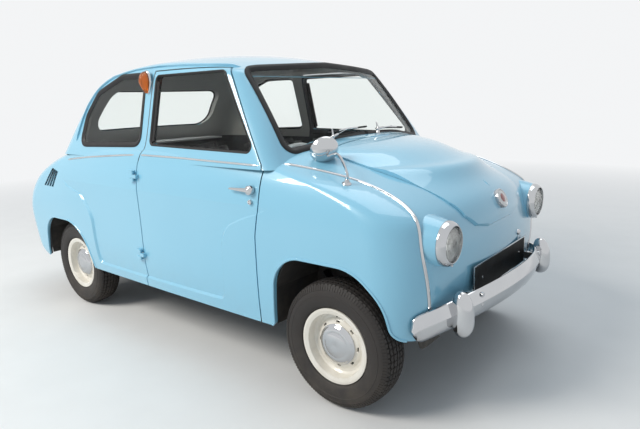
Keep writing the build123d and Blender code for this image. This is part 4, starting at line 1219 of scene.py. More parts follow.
TREAD_RADIUS, TREAD_HALF, ZIGZAG = 0.2253, 0.045, 0.0016
for corner in tyre.data.vertices:
    radius, aside, step = place_on_tyre(corner.co)
    if radius > TREAD_RADIUS and aside < TREAD_HALF:
        push = ZIGZAG if int(step + 0.5) % 4 < 2 else -ZIGZAG
        corner.co.y += push * (1 if corner.co.y < HUB.y else -1)
ribs = pick_band(tyre, 0.2095, 0.225, 0.0505, 0.0592, 2)
bpy.ops.mesh.extrude_region_shrink_fatten(TRANSFORM_OT_shrink_fatten={"value": 0.0016})
leave_edit()
cuts = pick_band(tyre, 0.2323, 0.237, 0.0, 0.0385, 4)
bpy.ops.mesh.inset(thickness=0.0007, depth=-0.0024, use_individual=True)
leave_edit()
blocks = pick_band(tyre, 0.2262, 0.2308, 0.0438, 0.05, 3)
bpy.ops.mesh.inset(thickness=0.0006, depth=-0.0024, use_individual=True)
leave_edit()
settle(tyre, "tyre_front_right_tread", "wheel_front_right", tyre_rubber, 28)
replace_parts(tyre, "tyre_front_right")
print("tyre ribs", ribs, "cuts", cuts, blocks, "faces", len(tyre.data.polygons))

# %% [markdown]
# ## Hub caps and valves
# The cap is a domed chrome plate with a turned-in rim and a shallow ring pressed into it.
# Its middle stays plain. A valve and a rolled lip finish the wheel, and all four pieces
# are copied to the other wheels.

# %% Hub cap, valve and the rim's lip
cap_section = ([(0.0264, 0.068), (0.0264, 0.0745), (0.0272, 0.076), (0.0292, 0.0762), (0.0305, 0.0748)]
               + [(0.0312, 0.0722)] + arc_points((0.033, 0.07), (0.0405, 0.05), 0.0022, 6)
               + [(0.0402, 0.0488), (0.0408, 0.0474)] + arc_points((0.0418, 0.045), (0.0446, 0.0), 0.003, 8)
               + [(0.0426, 0.0), (0.04, 0.045), (0.035, 0.058), (0.03, 0.068)])
cap = lathe("hub_cap_front_right_dome", "wheel_front_right", chrome, cap_section, HUB, WEST, 72)
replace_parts(cap, "hub_cap_front_right")
valve = lathe("valve_front_right", "wheel_front_right", seal_rubber,
              [(0.004, 0.0), (0.004, 0.0042), (0.02, 0.0038), (0.0205, 0.003), (0.03, 0.0028), (0.0305, 0.0)],
              HUB + Vector((0.0, 0.0, 0.113)), (0, -1, -0.25), 14)
lip_ring = lathe("rim_lip_front_right", "wheel_front_right", wheel_cream,
                 arc_points((0.0478, 0.1365), (0.0478, 0.1415), 0.0028, 6) + [(0.047, 0.139)], HUB, WEST, 96)

# %% [markdown]
# Mirroring gives the left wheels, and the wheelbase the rear ones.

# %% Copies for the other wheels
WHEELBASE = 1.8
REARWARD = Matrix.Translation((-WHEELBASE, 0, 0))
OTHER_WHEELS = {"front_left": MIRROR_Y, "rear_right": REARWARD, "rear_left": MIRROR_Y @ REARWARD}


def copy_to_wheels(piece, node=None):
    """Put copies of a piece of the front right wheel on the others, in the place of their nodes."""
    for wheel, matrix in OTHER_WHEELS.items():
        copy = twin(piece, piece.name.replace("front_right", wheel), matrix, f"wheel_{wheel}")
        if node:
            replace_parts(copy, f"{node}_{wheel}")


for piece, node in ((tyre, "tyre"), (cap, "hub_cap"), (valve, None), (lip_ring, None)):
    copy_to_wheels(piece, node)
print("wheels dressed")

# %% [markdown]
# ## Door handles
# The handle is a pointed lever on a round escutcheon. A cube is stretched and tapered
# towards its rear end, then subdivided so that it reads as polished casting.

# %% Door handle
HANDLE_AT = Vector((0.622, -0.6275, 0.775))


def tapered(start, end, start_size, end_size, cuts=6, bow=0.0, up=(0, 0, 1)):
    """A bar with rounded sides from start to end, given as (width, depth) at both ends."""
    start, end = Vector(start), Vector(end)
    along = (end - start).normalized()
    across = along.cross(Vector(up)).normalized()
    rise = across.cross(along).normalized()
    only(floor)
    bpy.ops.mesh.primitive_cube_add(size=1, location=(0, 0, 0))
    bar = bpy.context.object
    edit(bar, "DESELECT")
    bpy.ops.mesh.select_mode(type="EDGE")
    leave_edit()
    for edge in bar.data.edges:
        a, b = (bar.data.vertices[k].co for k in edge.vertices)
        edge.select = abs((a - b).x) > 0.5
    bpy.ops.object.mode_set(mode="EDIT")
    bpy.ops.mesh.subdivide(number_cuts=cuts)
    leave_edit()
    length = (end - start).length
    for corner in bar.data.vertices:
        share = corner.co.x + 0.5
        width = start_size[0] + (end_size[0] - start_size[0]) * share
        depth = start_size[1] + (end_size[1] - start_size[1]) * share
        curve = bow * 4 * share * (1 - share)
        sideways = rise * (corner.co.y * width) + across * (corner.co.z * depth + curve)
        corner.co = start + along * (share * length) + sideways
    soften(bar, levels=2)
    return bar


def rod(name, body, material, start, end, start_size, end_size, **shape):
    """A tapered bar with its finish and its body."""
    return settle(tapered(start, end, start_size, end_size, **shape), name, body, material)


escutcheon = lathe("handle_escutcheon_right", "door_right", chrome,
                   [(-0.012, 0), (-0.012, 0.0185), (0.0015, 0.0185), (0.005, 0.0165), (0.0066, 0.012),
                    (0.007, 0.0115), (0.0085, 0.01), (0.0092, 0.006), (0.0094, 0)], HANDLE_AT, WEST, 40)
lever = rod("handle_lever_right", "door_right", chrome, HANDLE_AT + Vector((0.008, -0.0062, 0)),
            HANDLE_AT + Vector((-0.108, -0.0045, 0.0005)), (0.0215, 0.0115), (0.008, 0.007), bow=0.0015)
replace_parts(lever, "door_handle_right")
left_twin(escutcheon, "door_left")
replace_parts(left_twin(lever, "door_left"), "door_handle_left")
lock = lathe("door_lock_right", "door_right", chrome,
             [(-0.012, 0), (-0.012, 0.0095), (0.001, 0.0095), (0.0028, 0.008), (0.003, 0.0055),
              (0.0012, 0.005), (0.0012, 0)], HANDLE_AT + Vector((0.0, 0.0005, -0.045)), WEST, 24)
left_twin(lock, "door_left")
print("door handles made")

# %% [markdown]
# ### Wipers
# Each wiper is a domed pivot on the scuttle with a short upright peg, an arm that tapers
# away from it, and a thin rubber blade in a bright holder. Both arms rest towards the
# car's left, along the windscreen's lower seal.

# %% Wipers
screen_tree = body_tree("windscreen", "roof", "bonnet", "front_body")
WIPERS = {"right": ((0.7215, -0.25), (0.675, -0.12)), "left": ((0.743, 0.06), (0.69, 0.215))}
BLADE_LENGTH, WIPER_STEPS = 0.265, 14


def on_glass(x, y, rise=0.0):
    """The point above the windscreen or scuttle at a place seen from the front and above."""
    inwards = Vector((-0.8, 0, -0.6))
    hit, way = first_hit(screen_tree, Vector((x, y, 0.94)) - inwards, inwards)
    return hit + way * rise, way


for side, ((px, py), (bx, by)) in WIPERS.items():
    pivot, way = on_glass(px, py)
    base = lathe(f"wiper_pivot_{side}", "body", chrome,
                 [(-0.01, 0), (-0.01, 0.0115), (0.003, 0.0115), (0.006, 0.009), (0.018, 0.007),
                  (0.023, 0.0075), (0.027, 0.0055), (0.0285, 0)], pivot, way, 24)
    if side == "right":
        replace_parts(base, "wipers")
    head = pivot + way * 0.02
    middle = on_glass(bx, by, 0.02)[0]
    knuckle_at = head + (middle - head) * 0.3
    rod(f"wiper_knuckle_{side}", "body", chrome, head + (head - middle).normalized() * 0.016, knuckle_at,
        (0.011, 0.012), (0.0095, 0.01), up=way)
    up_glass = (Vector((-0.45, 0.1, 0.88)) + way * 0.3).normalized()
    rod(f"wiper_spike_{side}", "body", chrome, head - up_glass * 0.01, head + up_glass * 0.036,
        (0.015, 0.013), (0.004, 0.004), up=way)
    rod(f"wiper_arm_{side}", "body", bright_trim, knuckle_at, middle, (0.0065, 0.003), (0.0045, 0.0025),
        up=way)
    line = []
    for k in range(WIPER_STEPS + 1):
        y = by + (k / WIPER_STEPS - 0.5) * BLADE_LENGTH
        x = bx - (y - by) * 0.02
        line.append(on_glass(x, y)[0])
    blade_ways = even_ways([on_glass(bx, by)[1]] * len(line))
    bead(f"wiper_blade_{side}", "body", seal_rubber, line, blade_ways,
         [(-0.0012, 0.0005), (0.0012, 0.0005), (0.003, 0.008), (0.003, 0.01), (-0.003, 0.01),
          (-0.003, 0.008)])
    bead(f"wiper_holder_{side}", "body", bright_trim, line[1:-1], blade_ways[1:-1],
         [(-0.0036, 0.0095), (0.0036, 0.0095), (0.003, 0.0135), (-0.003, 0.0135)], taper=4)
nozzle_at, way = on_glass(0.728, -0.01)
lathe("washer_nozzle", "body", seal_rubber,
      [(-0.006, 0), (-0.006, 0.01), (0.002, 0.01), (0.008, 0.007), (0.012, 0.0045), (0.0125, 0)], nozzle_at,
      way, 20)
print("wipers made, pivot at", [round(v, 3) for v in pivot])

# %% [markdown]
# ### Fender mirror
# A bent chrome stem on the right wing carries a round bowl, whose glass faces back to the
# driver. This bowl takes the place of the solid one, and has a rolled rim, a flat silvered
# face and a ball joint.

# %% Mirror
HEAD_AT = Vector((0.829, -0.428, 0.914))
TURN, NOD = math.radians(-35), math.radians(-26)
HEAD_WAY = Vector((math.cos(TURN) * math.cos(NOD), math.sin(TURN) * math.cos(NOD), math.sin(NOD)))
bowl = lathe("mirror_bowl", "body", chrome,
             [(-0.003, 0.0), (-0.003, 0.0485), (-0.0062, 0.05), (-0.0076, 0.0522), (-0.0062, 0.0546),
              (-0.003, 0.0554)] + arc_points((0.0, 0.0548), (0.0385, 0.0), 0.0115, 12), HEAD_AT, HEAD_WAY, 64)
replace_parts(bowl, "mirror")
lathe("mirror_face", "body", mirror_silver,
      [(-0.0028, 0.0), (-0.0028, 0.048), (-0.0046, 0.0482), (-0.0048, 0.0)], HEAD_AT, HEAD_WAY, 64)
foot_hit, foot_way = first_hit(body_side, (0.995, -0.519, 1.2), (0, 0, -1))
lathe("mirror_foot", "body", chrome,
      [(-0.008, 0), (-0.008, 0.0165), (0.002, 0.0165), (0.005, 0.014), (0.0085, 0.0095), (0.019, 0.0068),
       (0.021, 0)], foot_hit, foot_way, 28)
joint_at = HEAD_AT + HEAD_WAY * 0.034
stem = smooth_line([foot_hit + foot_way * 0.012, foot_hit + foot_way * 0.045 + Vector((-0.006, 0.003, 0)),
                    joint_at + Vector((0.058, -0.008, 0.004)), joint_at + HEAD_WAY * 0.01], 0.006)
bead("mirror_stem", "body", chrome, stem, [Vector((0, -1, 0.2)).normalized()] * len(stem),
     round_section(0.0048, 0.0048, 10))
lathe("mirror_joint", "body", chrome,
      [(-0.009, 0)] + arc_points((-0.0085, 0.003), (0.0085, 0.003), -0.0062, 8) + [(0.009, 0)], joint_at,
      HEAD_WAY, 24)
print("mirror foot at", [round(v, 3) for v in foot_hit])

# %% [markdown]
# ## Tail
# The round tail lamps have chrome rims and domed red lenses with an inner ring. The engine
# lid has a handle and pressed slots for air.

# %% Tail lamps
TAIL_AT = Vector((0, -0.5, 0.56))
BACKWARD = Vector((-1, 0, 0))
tail_hit = first_hit(body_side, (-2, -0.5, 0.56), FORWARD)[0]
base_x = -tail_hit.x
tail_rim = lathe("tail_lamp_rim_right", "body", chrome,
                 [(base_x - 0.03, 0.03), (base_x - 0.03, 0.0395), (1.403, 0.04), (1.4062, 0.0385),
                  (1.4075, 0.0355), (1.406, 0.033), (1.403, 0.032), (1.403, 0.03)], TAIL_AT, BACKWARD, 48)
left_twin(tail_rim, "body")
tail_lens = lathe("tail_lamp_lens_right", "body", red_glass,
                  [(1.36, 0.0), (1.36, 0.0318)] + arc_points((1.405, 0.0322), (1.414, 0.017), 0.0018, 5)
                  + [(1.415, 0.016), (1.4165, 0.014), (1.4176, 0.007), (1.418, 0.0)], TAIL_AT, BACKWARD, 48)
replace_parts(tail_lens, "tail_lamps")
left_twin(tail_lens, "body")
print("tail lamps at", round(-base_x, 3))

# %% [markdown]
# ### Engine lid
# A handle bar sits on a short post. The slots are raised louvres, laid on the lid by rays.

# %% Lid handle and slots
LOUVRES, LOUVRE_TOP, LOUVRE_GAP, LOUVRE_HALF = 5, 0.742, 0.017, 0.135
lid_tree = body_tree("engine_lid")
hit, way = first_hit(lid_tree, (-2, 0, 0.64), FORWARD)
lathe("lid_handle_post", "engine_lid", chrome,
      [(-0.01, 0), (-0.01, 0.013), (0.004, 0.013), (0.01, 0.01), (0.022, 0.01), (0.024, 0)], hit, way, 24)
rod("lid_handle_bar", "engine_lid", chrome, hit + way * 0.018 + Vector((0, -0.048, 0)),
    hit + way * 0.018 + Vector((0, 0.048, 0)), (0.016, 0.012), (0.016, 0.012), up=(0, 0, 1))
for row in range(LOUVRES):
    z = LOUVRE_TOP - row * LOUVRE_GAP
    half = LOUVRE_HALF - row * 0.004
    across = smooth_line([(0, -half, z), (0, 0, z), (0, half, z)], 0.02)
    line = [first_hit(lid_tree, (-2, p.y, p.z), FORWARD) for p in across]
    bead(f"lid_louvre_{row}", "engine_lid", paint, [h for h, _ in line], even_ways([w for _, w in line]),
         [(-0.0065, -0.001), (0.005, -0.001), (0.0055, 0.0035), (0.004, 0.0062), (0.001, 0.006),
          (-0.0045, 0.0015)], taper=3)
print("lid dressed, slots", LOUVRES)

# %% [markdown]
# ## Bumpers
# Each bumper is a bowed blade with a crease along its middle: the upper half looks at the
# sky and the lower half at the ground, which is what makes chrome read. Its ends are
# rounded and drop a little. Two fat overriders clasp it, and two irons carry it. A ball is
# stretched and squared for an overrider. The blade is a section led along the bow.

# %% Blades, overriders and irons
BLADE = [(-0.048, -0.023), (-0.0492, -0.0195), (-0.0475, -0.016), (-0.03, -0.0088), (-0.009, -0.0006),
         (-0.0068, 0.0), (-0.0045, -0.0006), (0.015, -0.0048), (0.032, -0.0105), (0.0455, -0.0175),
         (0.049, -0.0215), (0.0472, -0.025), (0.043, -0.0225), (0.03, -0.015), (0.013, -0.0092),
         (-0.0065, -0.0046), (-0.028, -0.0125), (-0.044, -0.02)]
BUMPERS = {"front": (1, 1.0, 22, 34.6, 1.38, 0.389), "rear": (-1, 2.4, 6, 13.4, 1.404, 0.393)}
BUMPER_END_X, BUMPER_Z, BLADE_STEPS = 1.45, 0.418, 96
OVERRIDER_Y, IRON_Y, IRON_Z = 0.408, 0.3, 0.412


def on_bow(way, radius, tilt, angle):
    """A point on the bow's ridge, and the blade's outward way there."""
    back = (math.cos(angle) - 1) * radius
    x, z = BUMPER_END_X + back * math.cos(tilt), BUMPER_Z + back * math.sin(tilt)
    point = Vector((way * x, radius * math.sin(angle), z))
    return point, Vector((way * math.cos(angle), math.sin(angle), 0))


def overrider(centre, way):
    """An upright, squared and flattened ball."""
    only(floor)
    bpy.ops.mesh.primitive_uv_sphere_add(segments=40, ring_count=28, radius=1)
    piece = bpy.context.object
    for corner in piece.data.vertices:
        height = max(-1.0, min(1.0, corner.co.z))
        ring = math.hypot(corner.co.x, corner.co.y)
        up = math.copysign(abs(height) ** 0.8, height)
        girth = (1 - abs(up) ** 2.8) ** 0.45 * (1 - 0.07 * up) / max(ring, 1e-6)
        corner.co = (corner.co.x * girth * 0.037 - way * 0.006 * abs(up) ** 2, corner.co.y * girth * 0.031,
                     up * 0.08)
    piece.rotation_euler = (0, -way * math.radians(3), 0)
    piece.location = centre
    return piece


for end, (way, radius, tilt_deg, sweep_deg, overrider_x, overrider_z) in BUMPERS.items():
    tilt, reach = math.radians(tilt_deg), math.radians(sweep_deg)
    angles = [way * reach * (2 * k / BLADE_STEPS - 1) for k in range(BLADE_STEPS + 1)]
    found = [on_bow(way, radius, tilt, a) for a in angles]
    heights = []
    for angle in angles:
        from_end = (reach - abs(angle)) * radius
        inside = max(0.0, 1 - from_end / 0.045)
        heights.append(max(0.12, math.sqrt(1 - inside ** 2.4)))
    blade = sweep(f"{end}_bumper_blade", [p for p, _ in found], [w for _, w in found], BLADE, heights=heights)
    settle(blade, blade.name, "body", chrome_dusty, 24)
    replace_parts(blade, f"{end}_bumper")
    for side, aside in (("right", -1), ("left", 1)):
        iron_y = aside * IRON_Y
        post = overrider((way * overrider_x, aside * OVERRIDER_Y, overrider_z), way)
        settle(post, f"{end}_overrider_{side}", "body", chrome_dusty, 60)
        body_x = way * (1.27 if way > 0 else 1.36)
        tip = on_bow(way, radius, tilt, math.asin(IRON_Y / radius))[0]
        rod(f"{end}_bumper_iron_{side}", "body", axle_black, (body_x, iron_y, IRON_Z),
            (tip.x - way * 0.008, iron_y, IRON_Z), (0.03, 0.009), (0.034, 0.007))
        for level, height in (("high", 0.4305), ("low", 0.3955)):
            lathe(f"{end}_bumper_bolt_{side}_{level}", "body", chrome_dusty,
                  [(-0.004, 0.0), (-0.004, 0.009), (0.001, 0.009), (0.003, 0.007), (0.0042, 0.0)],
                  Vector((tip.x, iron_y, height)) - Vector((way * 0.0055, 0, 0)), (way, 0, 0), 20)
    print(end, "bumper ends at", [round(v, 3) for v in found[0][0]])

# %% [markdown]
# ### Nose catch and plate lamp
# A small round catch sits above the front plate. At the back, a chrome lamp with a pane
# underneath lights the plate below it.

# %% Nose catch and plate lamp
catch_hit, catch_way = first_hit(body_side, (2, 0.205, 0.535), BACKWARD)
lathe("nose_catch", "body", chrome,
      [(-0.006, 0.0), (-0.006, 0.0125), (0.002, 0.0125), (0.006, 0.011), (0.01, 0.007), (0.0115, 0.0)],
      catch_hit, catch_way, 28)
lamp_hit = first_hit(body_side, (-2, 0, 0.6), FORWARD)[0]
box("plate_lamp", "body", chrome, lamp_hit + Vector((-0.01, 0, 0.0)), (0.034, 0.09, 0.022), 0.007, 3)
box("plate_lamp_lens", "body", lamp_glass, lamp_hit + Vector((-0.013, 0, -0.0115)), (0.02, 0.07, 0.003),
    0.001, 2)
print("plate lamp at", [round(v, 3) for v in lamp_hit])

# %% [markdown]
# ## Seats
# The front seats are two padded vinyl pads on a tube frame, and the rear bench is wider
# and plainer. A cube is shaped to the pad's outline, remeshed evenly, and blown up a
# little as a filled cover is, with every point held near its start. Sewn channels are then
# pressed in, and a piped seam runs round the edge. The pads are large, so the mesh is
# coarser than for a small cushion, and one subdivision makes it smooth.

# %% How a pad is made
PAD_MESH = 0.011


def pad_block(outline, half_width, centre_y):
    """A closed block from four (x, z) corners: bottom rear, top rear, top front, bottom front."""
    only(floor)
    bpy.ops.mesh.primitive_cube_add(size=1)
    piece = bpy.context.object
    for corner in piece.data.vertices:
        x, y, z = corner.co
        k = (0 if z < 0 else 1) if x < 0 else (3 if z < 0 else 2)
        corner.co = (outline[k][0], centre_y + (half_width if y > 0 else -half_width), outline[k][1])
    soften(piece, 0.018, 3)
    return piece


def fill_pad(piece, cap, pressure=4.0):
    """Blow a cover up like a filled pad, and hold every point within a cap of its start."""
    even = piece.modifiers.new("even", "REMESH")
    even.mode = "VOXEL"
    even.voxel_size = PAD_MESH
    apply_all(piece)
    start = [v.co.copy() for v in piece.data.vertices]
    cover = piece.modifiers.new("cover", "CLOTH")
    cover.settings.use_pressure = True
    cover.settings.uniform_pressure_force = pressure
    cover.settings.effector_weights.gravity = 0
    cover.point_cache.frame_start = 1
    cover.point_cache.frame_end = 20
    for frame_number in range(1, 21):
        scene.frame_set(frame_number)
    apply_all(piece)
    scene.frame_set(1)
    for corner, before in zip(piece.data.vertices, start):
        moved = corner.co - before
        if moved.length > cap:
            corner.co = before + moved * (cap / moved.length)
    smooth = piece.modifiers.new("smooth", "SUBSURF")
    smooth.levels = smooth.render_levels = 1
    apply_all(piece)


def sew_channels(piece, face_way, centres, width=0.01, depth=0.0075):
    """Press sewn lines into the faces that look along face_way. The lines run fore and aft."""
    face_way = Vector(face_way).normalized()
    normals = [v.normal.copy() for v in piece.data.vertices]
    for corner, normal in zip(piece.data.vertices, normals):
        facing = max(0.0, normal.dot(face_way))
        if facing > 0.3:
            near = min(abs(corner.co.y - c) for c in centres)
            corner.co -= face_way * depth * min(1.0, facing * 1.4) * math.exp(-(near / width) ** 2)


def piping(name, piece, loop, radius=0.0042):
    """A thin cord of vinyl sewn along the edge of a pad."""
    tree = BVHTree.FromObject(piece, bpy.context.evaluated_depsgraph_get())
    line = smooth_line(loop, 0.015, closed=True)
    found = [tree.find_nearest(p) for p in line]
    points, ways = [f[0] for f in found], even_ways([f[1] for f in found])
    return sweep(name, points, ways, round_section(radius, radius), closed=True)


def rounded_loop(corners, radius=0.03):
    """Points of a closed loop through corners, each cut off at a distance."""
    points = []
    corners = [Vector(c) for c in corners]
    for i, here in enumerate(corners):
        before, after = corners[i - 1], corners[(i + 1) % len(corners)]
        points.append(here + (before - here).normalized() * radius)
        points.append(here.lerp((before + after) / 2, 0.06))
        points.append(here + (after - here).normalized() * radius)
    return points


def cord_loop(low, high, half_width, centre_y=0.0):
    """A loop round a pad, from its (x, z) on one end to that on the other."""
    (x0, z0), (x1, z1) = low, high
    y0, y1 = centre_y - half_width, centre_y + half_width
    return rounded_loop([(x0, y0, z0), (x0, y1, z0), (x1, y1, z1), (x1, y0, z1)])


# %% Front seat cushion and back
SEAT_Y, SEAT_HALF, CORD_HALF = -0.262, 0.203, 0.205
SEWN_AT = [SEAT_Y + k * 0.062 for k in range(-2, 3)]
cushion = pad_block([(-0.028, 0.38), (-0.028, 0.462), (0.388, 0.474), (0.388, 0.38)], SEAT_HALF, SEAT_Y)
fill_pad(cushion, 0.022)
sew_channels(cushion, (0, 0, 1), SEWN_AT)
cushion_cord = piping("front_cushion_piping_right", cushion,
                      cord_loop((-0.03, 0.47), (0.392, 0.478), CORD_HALF, SEAT_Y))
settle(cushion, "front_cushion_right", "body", seat_vinyl, 60)
settle(cushion_cord, "front_cushion_piping_right", "body", piping_vinyl)

lean = math.radians(12)
back_at = Vector((-0.092, SEAT_Y, 0.69))


def on_back(forward, up):
    """A place on the leaning seat back, as (x, z)."""
    return (back_at.x + forward * math.cos(lean) - up * math.sin(lean),
            back_at.z + forward * math.sin(lean) + up * math.cos(lean))


back_outline = [on_back(-0.036, -0.196), on_back(-0.032, 0.196), on_back(0.03, 0.196), on_back(0.036, -0.196)]
back = pad_block(back_outline, SEAT_HALF, SEAT_Y)
fill_pad(back, 0.016)
front_way = Vector((math.cos(lean), 0, math.sin(lean)))
sew_channels(back, front_way, SEWN_AT)
back_loop = cord_loop(on_back(0.036, -0.2), on_back(0.036, 0.205), CORD_HALF, SEAT_Y)
back_cord = piping("front_back_piping_right", back, back_loop)
settle(back, "front_back_right", "body", seat_vinyl, 60)
settle(back_cord, "front_back_piping_right", "body", piping_vinyl)
for piece in (cushion, cushion_cord, back, back_cord):
    left = left_twin(piece, "body")
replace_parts(cushion, "front_seat_cushions")
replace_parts(back, "front_seat_backs")
print("front seats", len(cushion.data.polygons), len(back.data.polygons))

# %% [markdown]
# ### Rear bench
# The bench and its backrest are made in the same way, across the whole cabin.

# %% Rear bench
bench = pad_block([(-0.788, 0.512), (-0.788, 0.588), (-0.43, 0.552), (-0.43, 0.45)], 0.318, 0.0)
fill_pad(bench, 0.012)
sew_channels(bench, (0.1, 0, 1), [k * 0.08 for k in range(-3, 4)])
bench_cord = piping("rear_bench_piping", bench, cord_loop((-0.79, 0.592), (-0.425, 0.556), 0.322))
settle(bench, "rear_bench", "body", seat_vinyl, 60)
settle(bench_cord, "rear_bench_piping", "body", piping_vinyl)
rest = pad_block([(-0.768, 0.606), (-0.806, 0.838), (-0.752, 0.85), (-0.71, 0.602)], 0.413, 0.0)
fill_pad(rest, 0.01)
sew_channels(rest, (1, 0, 0.15), [k * 0.092 for k in range(-4, 5)])
rest_cord = piping("rear_rest_piping", rest, cord_loop((-0.706, 0.6), (-0.748, 0.856), 0.418))
settle(rest, "rear_rest", "body", seat_vinyl, 60)
settle(rest_cord, "rear_rest_piping", "body", piping_vinyl)
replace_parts(bench, "rear_seat_cushion")
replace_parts(rest, "rear_seat_back")
print("rear seats", len(bench.data.polygons), len(rest.data.polygons))

# %% [markdown]
# ## Cabin
# The wheel is a thin ring with two spokes and a horn button, and it turns with its own
# body. The stalk for the direction lamps stays with the column.

# %% Steering wheel
WHEEL_AT = Vector((0.43, -0.27, 0.77))
COLUMN_WAY = (Vector((0.897, -0.27, 0.333)) - WHEEL_AT).normalized()
wheel_up = Vector((0, 1, 0)).cross(COLUMN_WAY).normalized()
ring_section = [(0.0125 * math.sin(a * math.pi / 8), 0.19 + 0.0115 * math.cos(a * math.pi / 8))
                for a in range(16)]
wheel_ring = lathe("steering_wheel_ring", "steering_wheel", grey_plastic, ring_section, WHEEL_AT, COLUMN_WAY,
                   96)
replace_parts(wheel_ring, "steering_wheel")
for number, way in enumerate((Vector((0, 1, 0)), Vector((0, -1, 0)))):
    rod(f"steering_spoke_{number}", "steering_wheel", grey_plastic,
        WHEEL_AT + way * 0.02 + COLUMN_WAY * 0.012, WHEEL_AT + way * 0.188, (0.03, 0.01), (0.016, 0.009),
        up=wheel_up)
lathe("steering_hub", "steering_wheel", grey_plastic,
      [(0.034, 0.0), (0.034, 0.015), (0.02, 0.03), (0.006, 0.0335), (-0.004, 0.032), (-0.0075, 0.026),
       (-0.0075, 0.0)], WHEEL_AT, COLUMN_WAY, 40)
lathe("horn_button", "steering_wheel", dark_plastic,
      [(-0.004, 0.0), (-0.004, 0.024), (-0.01, 0.0235), (-0.013, 0.018), (-0.0142, 0.0)], WHEEL_AT,
      COLUMN_WAY, 36)
rod("direction_stalk", "body", dark_plastic, WHEEL_AT + COLUMN_WAY * 0.105 + Vector((0, 0.014, 0)),
    WHEEL_AT + COLUMN_WAY * 0.075 + Vector((0, 0.135, 0.02)), (0.007, 0.007), (0.011, 0.01), up=wheel_up)
print("steering wheel made")

# %% [markdown]
# ### Dashboard
# The dashboard is a painted panel with one round dial, a row of knobs, a bright strip and
# the lid of a glove box.

# %% Dashboard
DIAL_MARKS, MARK_RADIUS = 11, 0.034
DASH_X = 0.5965
dial_at = Vector((DASH_X, -0.27, 0.806))
lathe("dial_bezel", "body", chrome,
      [(-0.006, 0.0), (-0.006, 0.048), (0.004, 0.0485), (0.0085, 0.0465), (0.0095, 0.044), (0.0075, 0.0425),
       (0.003, 0.042), (0.003, 0.0)], dial_at, BACKWARD, 48)
lathe("dial_face", "body", dark_plastic, [(0.002, 0.0), (0.002, 0.0415), (0.0042, 0.0415), (0.0044, 0.0)],
      dial_at, BACKWARD, 48)
for mark in range(DIAL_MARKS):
    angle = math.radians(225 - 27 * mark)
    spot = dial_at + Vector((-0.0046, math.cos(angle) * MARK_RADIUS, math.sin(angle) * MARK_RADIUS))
    box(f"dial_mark_{mark}", "body", white_enamel, spot, (0.0008, 0.0065, 0.0014), 0.0002, 1,
        turn=(angle, 0, 0))
rod("dial_needle", "body", red_enamel, dial_at + Vector((-0.0052, 0, 0)),
    dial_at + Vector((-0.0052, 0.022, -0.022)), (0.0028, 0.0012), (0.001, 0.0008), up=(1, 0, 0))
for number, y in enumerate((-0.15, -0.105, -0.06, 0.08, 0.125)):
    lathe(f"dash_knob_{number}", "body", dark_plastic,
          [(-0.004, 0.0), (-0.004, 0.005), (0.01, 0.005), (0.011, 0.0105), (0.02, 0.012), (0.0235, 0.01),
           (0.0245, 0.0)], (DASH_X, y, 0.79), BACKWARD, 24)
bead("dash_strip", "body", bright_trim, [Vector((0.5985, -0.5 + k * 0.05, 0.835)) for k in range(21)],
     [BACKWARD] * 21, half_round(0.008, 0.004), taper=1)
box("glove_lid", "body", dash_paint, (0.5965, 0.3, 0.782), (0.006, 0.23, 0.062), 0.004, 3)
lathe("glove_catch", "body", chrome,
      [(-0.002, 0.0), (-0.002, 0.008), (0.006, 0.008), (0.009, 0.006), (0.0095, 0.0)], (0.594, 0.3, 0.8),
      BACKWARD, 20)
print("dashboard dressed")


# %% [markdown]
# ### Cards, pulls and the shelf
# The doors and the sides have thin vinyl cards. A card is a grid whose points are laid on
# the panel by rays from the cabin, and then given a thickness. A shelf lies behind the
# rear seat.

# %% Door cards and side panels
CARD_RAY_Y = -0.2


def lining_card(name, node, corners, body, rise=0.0045, cuts=14):
    """A thin padded card laid on the inner side of a panel. Corners are (x, z), in order round."""
    tree = body_tree(node)
    only(floor)
    bpy.ops.mesh.primitive_grid_add(x_subdivisions=cuts, y_subdivisions=cuts, size=2)
    card = bpy.context.object
    (ax, az), (bx, bz), (cx, cz), (dx, dz) = corners
    lost = []
    for corner in card.data.vertices:
        u, v = (corner.co.x + 1) / 2, (corner.co.y + 1) / 2
        x = (ax * (1 - u) + bx * u) * (1 - v) + (dx * (1 - u) + cx * u) * v
        z = (az * (1 - u) + bz * u) * (1 - v) + (dz * (1 - u) + cz * u) * v
        hit = tree.ray_cast(Vector((x, CARD_RAY_Y, z)), WEST)[0]
        if hit is None:
            lost.append((round(x, 3), round(z, 3)))
            hit = Vector((x, -0.585, z))
        corner.co = hit + Vector((0, 0.0006, 0))
    if lost:
        print(name, "points off the panel", len(lost), lost[:3])
    thick = card.modifiers.new("thick", "SOLIDIFY")
    thick.thickness = rise
    thick.offset = 1 if card.data.polygons[0].normal.y > 0 else -1
    apply_all(card)
    settle(card, name, body, card_vinyl, 40)
    return card


for name, node, corners, body in (("door_card_right", "door_panel_right",
                                   [(-0.085, 0.3), (0.585, 0.3), (0.6, 0.855), (-0.06, 0.862)], "door_right"),
                                  ("side_card_right", "rear_body",
                                   [(-0.52, 0.56), (-0.175, 0.56), (-0.17, 0.845), (-0.6, 0.83)], "body")):
    card = lining_card(name, node, corners, body)
    left_twin(card, body.replace("right", "left"))
print("door cards and side panels laid")


# %% Door pulls, releases and the shelf
def inside_door(x, z, off):
    """A place that stands off the inner side of the right-hand door."""
    return first_hit(door_side, (x, CARD_RAY_Y, z), WEST)[0] + Vector((0, off, 0))


